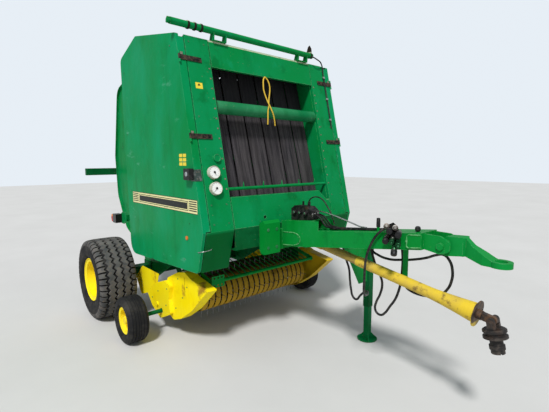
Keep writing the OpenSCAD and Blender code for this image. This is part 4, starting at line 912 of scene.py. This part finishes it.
# The left-hand shield is painted a darker yellow: painted shade on the side away from the lamp.
painted_shade_left_shield = within(tree, "X", 0.78, 0.40, 0.02)
coat = lay_over(tree, coat, (0.55, 0.33, 0.02), times(tree, painted_shade_left_shield, 0.7))
paint(tree, shader, coat)
dress("pickup_shields", shield_yellow)
bolts("right_cap_bolts", [(-800.3, y, z) for y,
                          z in ((-1060, 300), (-1200, 440), (-1290, 560), (-1120, 600))],
      (-1, 0, 0), 0.8, "pickup", painted_bolt)
bolts("drive_cover_bolts", [(-838.3, y, z) for y, z in ((-960, 470), (-760, 400), (-930, 300), (-620, 300))],
      (-1, 0, 0), 0.8, "pickup", painted_bolt)
bolts("left_cap_bolts", [(800.3, y, z) for y, z in ((-1060, 300), (-1200, 440), (-1290, 560), (-1120, 600))],
      (1, 0, 0), 0.8, "pickup", painted_bolt)


# Driveline: yellow plastic guard tubes gone dull and dusty brown, and painted darker than the bell as
# painted shade under the tongue, a rusty disc where the bell ends, and the wide-angle joint of forged steel.
# The rear guard's darker yellow and brown: dust, and painted shade under the tongue.
guard_yellow, tree, shader = finish("guard_yellow", (0.72, 0.42, 0.02), 0.5)
coat = lay_over(tree, (0.46, 0.32, 0.04), (0.34, 0.25, 0.08), cloudy(tree, 5, 0.4, 0.7))
coat = lay_over(tree, coat, (0.14, 0.08, 0.03), times(tree, cloudy(tree, 18, 0.56, 0.68), 0.8))
smears = cloudy(tree, 5, 0.50, 0.62, stretch=(4, 1, 4), detail=8)
coat = lay_over(tree, coat, (0.20, 0.13, 0.06), times(tree, smears, 0.5))
paint(tree, shader, coat)
dress("pto_rear", guard_yellow)
bell_yellow, tree, shader = finish("bell_yellow", (0.80, 0.52, 0.02), 0.5)
coat = lay_over(tree, (0.74, 0.52, 0.03), (0.54, 0.38, 0.07), cloudy(tree, 5, 0.4, 0.7))
coat = lay_over(tree, coat, (0.14, 0.08, 0.03), times(tree, cloudy(tree, 18, 0.56, 0.68), 0.8))
tip = within(tree, "Y", axle_y - 3.520, 0.104, 0.002)
coat = lay_over(tree, coat, (0.034, 0.026, 0.022), tip)
coat = lay_over(tree, coat, (0.12, 0.065, 0.035), times(tree, tip, cloudy(tree, 22, 0.42, 0.62)))
paint(tree, shader, coat)
bumps(tree, shader, cloudy(tree, 40, 0.3, 0.7), 0.15, 0.003)
dress("pto_front", bell_yellow)
forged, tree, shader = finish("forged_steel", (0.03, 0.028, 0.027), 0.55, 0.4)
coat = lay_over(tree, (0.030, 0.028, 0.027), (0.085, 0.070, 0.060), cloudy(tree, 30, 0.45, 0.65))
paint(tree, shader, lay_over(tree, coat, (0.11, 0.055, 0.03), times(tree, cloudy(tree, 9, 0.56, 0.7), 0.5)))
bumps(tree, shader, cloudy(tree, 70, 0.3, 0.7), 0.3, 0.002)
dress("pto_joint", forged)


# Valve block: cast iron gone black, with bright bolts on its spools and a bent steel pipe that
# rises from its top; three steel pipes lead on to the couplings.
valve_iron, tree, shader = finish("valve_iron", (0.012, 0.012, 0.012), 0.5, 0.3)
coat = lay_over(tree, (0.010, 0.010, 0.011), (0.045, 0.042, 0.040), cloudy(tree, 26, 0.45, 0.65))
paint(tree, shader, lay_over(tree, coat, (0.10, 0.05, 0.03), times(tree, cloudy(tree, 12, 0.60, 0.70), 0.6)))
bumps(tree, shader, cloudy(tree, 60, 0.3, 0.7), 0.25, 0.002)
dress("valve_block", valve_iron)
bright_metal = mottled("bright_metal", (0.60, 0.60, 0.58), (0.22, 0.20, 0.17), 0.25, 0.95, 90, 0.5, 0.68)[0]
for side in (-1, 1):
    bolts("spool_bolts_" + ("right" if side < 0 else "left"),
          [(side * 72.2, y, 1232) for y in (-1905, -1970, -2035)],
          (side, 0, 0), 1.1, "chassis", bright_metal)
bolts("pipe_unions", [(x, -2092.5, 1222) for x in (-28, 4, 34)], (0, -1, 0), 1.0, "chassis", bright_metal)


def bent_pipe(name, points, diameter, material, body):
    """A rigid bent pipe or rod through points measured in mm from the axle."""
    pipe = laid_cord(name, from_axle(points), diameter, material)
    pipe.select_set(True)
    bpy.context.view_layer.objects.active = pipe
    bpy.ops.object.convert(target="MESH")
    pipe = bpy.context.active_object
    pipe.name = name
    pipe.data.name = name
    fitted(pipe, body)
    return pipe


bent_pipe("valve_top_pipe", ((46, -1960, 1276), (46, -1972, 1318), (47, -1994, 1346), (48, -2028, 1362),
                             (50, -2064, 1366),
                             (50, -2104, 1358), (50, -2140, 1338), (50, -2176, 1300), (49, -2210, 1258),
                             (48, -2240, 1206),
                             (47, -2262, 1152)), 0.011, valve_iron, "chassis")
bent_pipe("tank_pipe", ((16, -2088, 1246), (16, -2150, 1250), (17, -2222, 1240), (18, -2318, 1222),
                        (19, -2400, 1204),
                        (20, -2470, 1188), (20, -2540, 1172), (20, -2600, 1170)), 0.012, bright_metal,
                        "chassis")


# Hydraulic couplings: turned steel plugs in a rack at the tongue's right edge, fed by the pipes,
# some with a black rubber dust cap.
plates = []
for radius, y, z in ((0.070, -2900, 1190), (0.046, -2918, 1132)):
    deselect()
    bpy.ops.mesh.primitive_cylinder_add(vertices=8, radius=radius, depth=0.006,
                                        rotation=(math.radians(22.5), math.radians(90), 0))
    plate = named("coupling_rack", valve_iron)
    plate.location = from_axle([(-108.2, y, z)])[0]
    bpy.ops.object.transform_apply(location=True, rotation=True)
    round_edges(0.0015, 2)
    plates.append(plate)
rack = weld("coupling_rack", plates)
fitted(rack, "chassis")
coupling_steel, tree, shader = finish("coupling_steel", (0.25, 0.23, 0.21), 0.42, 0.75)
coat = lay_over(tree, (0.26, 0.25, 0.23), (0.10, 0.075, 0.06), cloudy(tree, 40, 0.42, 0.60))
coat = lay_over(tree, coat, (0.02, 0.10, 0.04), within(tree, "Z", 1.125, 0.030, 0.010))
paint(tree, shader, coat)
plug = smooth(turned("plug_pattern", ((0.0090, -0.034), (0.0090, 0.0), (0.0150, 0.001), (0.0160, 0.004),
                                      (0.0160, 0.020), (0.0150, 0.023),
                                      (0.0125, 0.025), (0.0125, 0.030), (0.0190, 0.032), (0.0190, 0.052),
                                      (0.0175, 0.055),
                                      (0.0115, 0.056), (0.0115, 0.071), (0.0095, 0.074)), 24, coupling_steel))
cap = smooth(turned("cap_pattern", ((0.0205, 0.050), (0.0212, 0.052), (0.0212, 0.078), (0.0190, 0.084),
                                    (0.0070, 0.086)), 24,
                    black_plastic))
plug_rows = (
    ((-112, -2848, 1222), (-0.75, -0.55, 0.30), False), ((-112, -2880, 1206), (-0.85, -0.45, 0.05), True),
    ((-112, -2914, 1222), (-0.80, -0.55, 0.25), False), ((-112, -2950, 1202), (-0.85, -0.40, -0.10), True),
    ((-112, -2864, 1166), (-0.85, -0.30, -0.35), True), ((-112, -2902, 1160), (-0.80, -0.35, -0.45), False),
    ((-112, -2944, 1152), (-0.70, -0.40, -0.60), False), ((-112, -2918, 1116), (-0.60, -0.30, -0.80), True))
plugs = []
caps = []
for place, towards, capped in plug_rows:
    for pattern, group, wanted in ((plug, plugs, True), (cap, caps, capped)):
        if wanted:
            group.append(copy_of(pattern, "plug", facing(place, towards)))
bpy.data.objects.remove(plug)
bpy.data.objects.remove(cap)
plugs = seat(weld("hose_couplings", plugs))
caps = seat(weld("dust_caps", caps))
for piece, slot in ((plugs, "bare_steel"), (caps, "black_plastic")):
    fitted(piece, "chassis")
for number, (x, end_y, end_z) in enumerate(((-28, -2850, 1216), (4, -2884, 1200), (34, -2918, 1216))):
    top = tongue_high(-2700) + 7.3
    bent_pipe(f"coupling_pipe_{number}", (
        (x, -2694, top), (x, -2730, top + 5), (x - 8, -2766 - 12 * number, top + 14),
        (x - 26, -2800 - 18 * number, top + 26),
        (x - 52, -2822 - 24 * number, top + 32), (-92, end_y + 6, end_z + 4), (-104, end_y, end_z)), 0.012,
        valve_iron,
        "chassis")

# Post and knob on the tongue: a rubber sleeve on the hose post, and a black cap on the latch pin.
sleeve = smooth(turned("post_sleeve", ((0.0130, 0.0), (0.0145, 0.002), (0.0135, 0.058), (0.0120, 0.064),
                                       (0.0040, 0.066)), 24,
                       black_plastic))
sleeve.matrix_world = facing((-40, -2740, tongue_high(-2740) + 31), (0, 0, 1))
knob = smooth(turned("latch_knob", ((0.0100, 0.0), (0.0165, 0.006), (0.0190, 0.016), (0.0175, 0.028),
                                    (0.0110, 0.035),
                                    (0.0030, 0.037)), 24, black_plastic))
knob.matrix_world = facing((-30, -3035, tongue_high(-3035) + 1), (0, 0, 1))
for piece in (sleeve, knob):
    seat(piece)
    fitted(piece, "chassis")

# Weld beads: round the pad where the tongue meets the body, and round the plate behind its joint.
weld_green = mottled("weld_green", (0.010, 0.27, 0.05), (0.16, 0.42, 0.18), 0.5, 0, 60, 0.4, 0.6)[0]
for side in (-1, 1):
    name = "right" if side < 0 else "left"
    bent_pipe(f"{name}_pad_weld", [(side * 104, y, z) for y, z in (
        (-1800, 1047), (-1880, 1052), (-1945, 1055), (-1984, 1045), (-2012, 1022), (-2014, 1000),
        (-1996, 972), (-1955, 951),
        (-1880, 938), (-1800, 930))], 0.009, weld_green, "chassis")
    bent_pipe(f"{name}_plate_weld", [(side * 105, y, z) for y, z in (
        (-3096, tongue_low(-3096) + 16), (-3040, tongue_low(-3040) + 15), (-3004, tongue_low(-3004) + 20),
        (-2996, tongue_low(-3000) + 60), (-2996, tongue_high(-3000) - 60), (-3004, tongue_high(-3004) - 16),
        (-3040, tongue_high(-3040) - 13), (-3096, tongue_high(-3096) - 14))], 0.008, weld_green, "chassis")

# Wire catch: a bent spring-steel rod that holds the right-hand door's lower corner, and the
# cable that runs from the stop lever down the left-hand post in its clips.
bent_pipe("wire_catch", ((-904, -1688, 966), (-905, -1716, 972), (-896, -1738, 978), (-872, -1748, 980),
                         (-840, -1744, 982),
                         (-812, -1738, 985), (-800, -1728, 990)), 0.006, bright_metal, "right_door")
cable_black = mottled("cable_black", (0.012, 0.012, 0.013), (0.05, 0.048, 0.044), 0.5, 0, 30, 0.45, 0.7)[0]
bent_pipe("stop_cable", [(624, -1450, 2748), (640, -1466, 2738), (676, -1470, 2726), (724, -1462, 2718),
                         (770, -1446, 2706),
                         (796, -1437, 2684), (804, -1440, 2650)]
          + [(804, face_y(z) - 7.5, z) for z in (2600, 2500, 2400, 2300, 2200, 2100, 2020)], 0.013,
          cable_black, "chassis")
for number, z in enumerate((2560, 2330, 2110)):
    corners = from_axle([(x, face_y(z + h) - 14.4, z + h) for x,
                         h in ((788, -9), (820, -9), (820, 9), (788, 9))])
    foil(f"cable_clip_{number}", corners, (0, 0.0138, -0.0030), bright_metal, "chassis")


# Tailgate cylinders' chromed rods, and the lamps with amber upper and red lower fields.
chrome, tree, shader = finish("chrome_rod", (0.62, 0.63, 0.64), 0.15, 1.0)
varied_gloss(tree, shader, cloudy(tree, 30, 0.4, 0.7), 0.1, 0.35)
dress("right_rod", chrome)
dress("left_rod", chrome)
lamp_red, tree, shader = finish("lamp_red", (0.45, 0.012, 0.01), 0.2)
coat = lay_over(tree, (0.50, 0.012, 0.01), (0.30, 0.02, 0.015), cloudy(tree, 30, 0.4, 0.7))
coat = lay_over(tree, coat, (0.80, 0.24, 0.02), within(tree, "Z", 1.070, 0.016))
coat = lay_over(tree, coat, (0.010, 0.011, 0.010), within(tree, "Y", axle_y + 0.150, 0.062))
paint(tree, shader, coat)
dress("lamps", lamp_red)
bpy.data.objects.remove(bolt_head)

# Studio: a plain pale floor under even, soft light, with one wide lamp high on the left
# that throws the machine's shadow to the right as the sun does in the yard.
deselect()
bpy.ops.mesh.primitive_plane_add(size=60, location=(0, 0, -0.002))
floor = bpy.context.active_object
floor.name = "studio_floor"
floor_paint = mottled("pale_floor", (0.62, 0.61, 0.59), (0.58, 0.57, 0.55), 0.9, 0, 0.8, 0.3, 0.7)[0]
floor.data.materials.append(floor_paint)
sun_data = bpy.data.lights.new("soft_sun", "SUN")
sun_data.energy = 3.1
sun_data.angle = math.radians(9)
sun = bpy.data.objects.new("soft_sun", sun_data)
sun.matrix_world = Vector((0.50, 0.40, -0.77)).to_track_quat("-Z", "Y").to_matrix().to_4x4()
bpy.context.scene.collection.objects.link(sun)
world = bpy.data.worlds.new("studio_light")
bpy.context.scene.world = world
world.use_nodes = True
tree = world.node_tree
sky = tree.nodes["Background"]
sky.inputs["Color"].default_value = (0.86, 0.93, 1.0, 1)
sky.inputs["Strength"].default_value = 0.50
backdrop = tree.nodes.new("ShaderNodeBackground")
backdrop.inputs["Color"].default_value = (0.80, 0.86, 0.92, 1)
backdrop.inputs["Strength"].default_value = 1.0
rays = tree.nodes.new("ShaderNodeLightPath")
blend_sky = tree.nodes.new("ShaderNodeMixShader")
tree.links.new(rays.outputs["Is Camera Ray"], blend_sky.inputs["Fac"])
tree.links.new(sky.outputs["Background"], blend_sky.inputs[1])
tree.links.new(backdrop.outputs["Background"], blend_sky.inputs[2])
tree.links.new(blend_sky.outputs["Shader"], tree.nodes["World Output"].inputs["Surface"])
bpy.context.scene.view_settings.view_transform = "Standard"
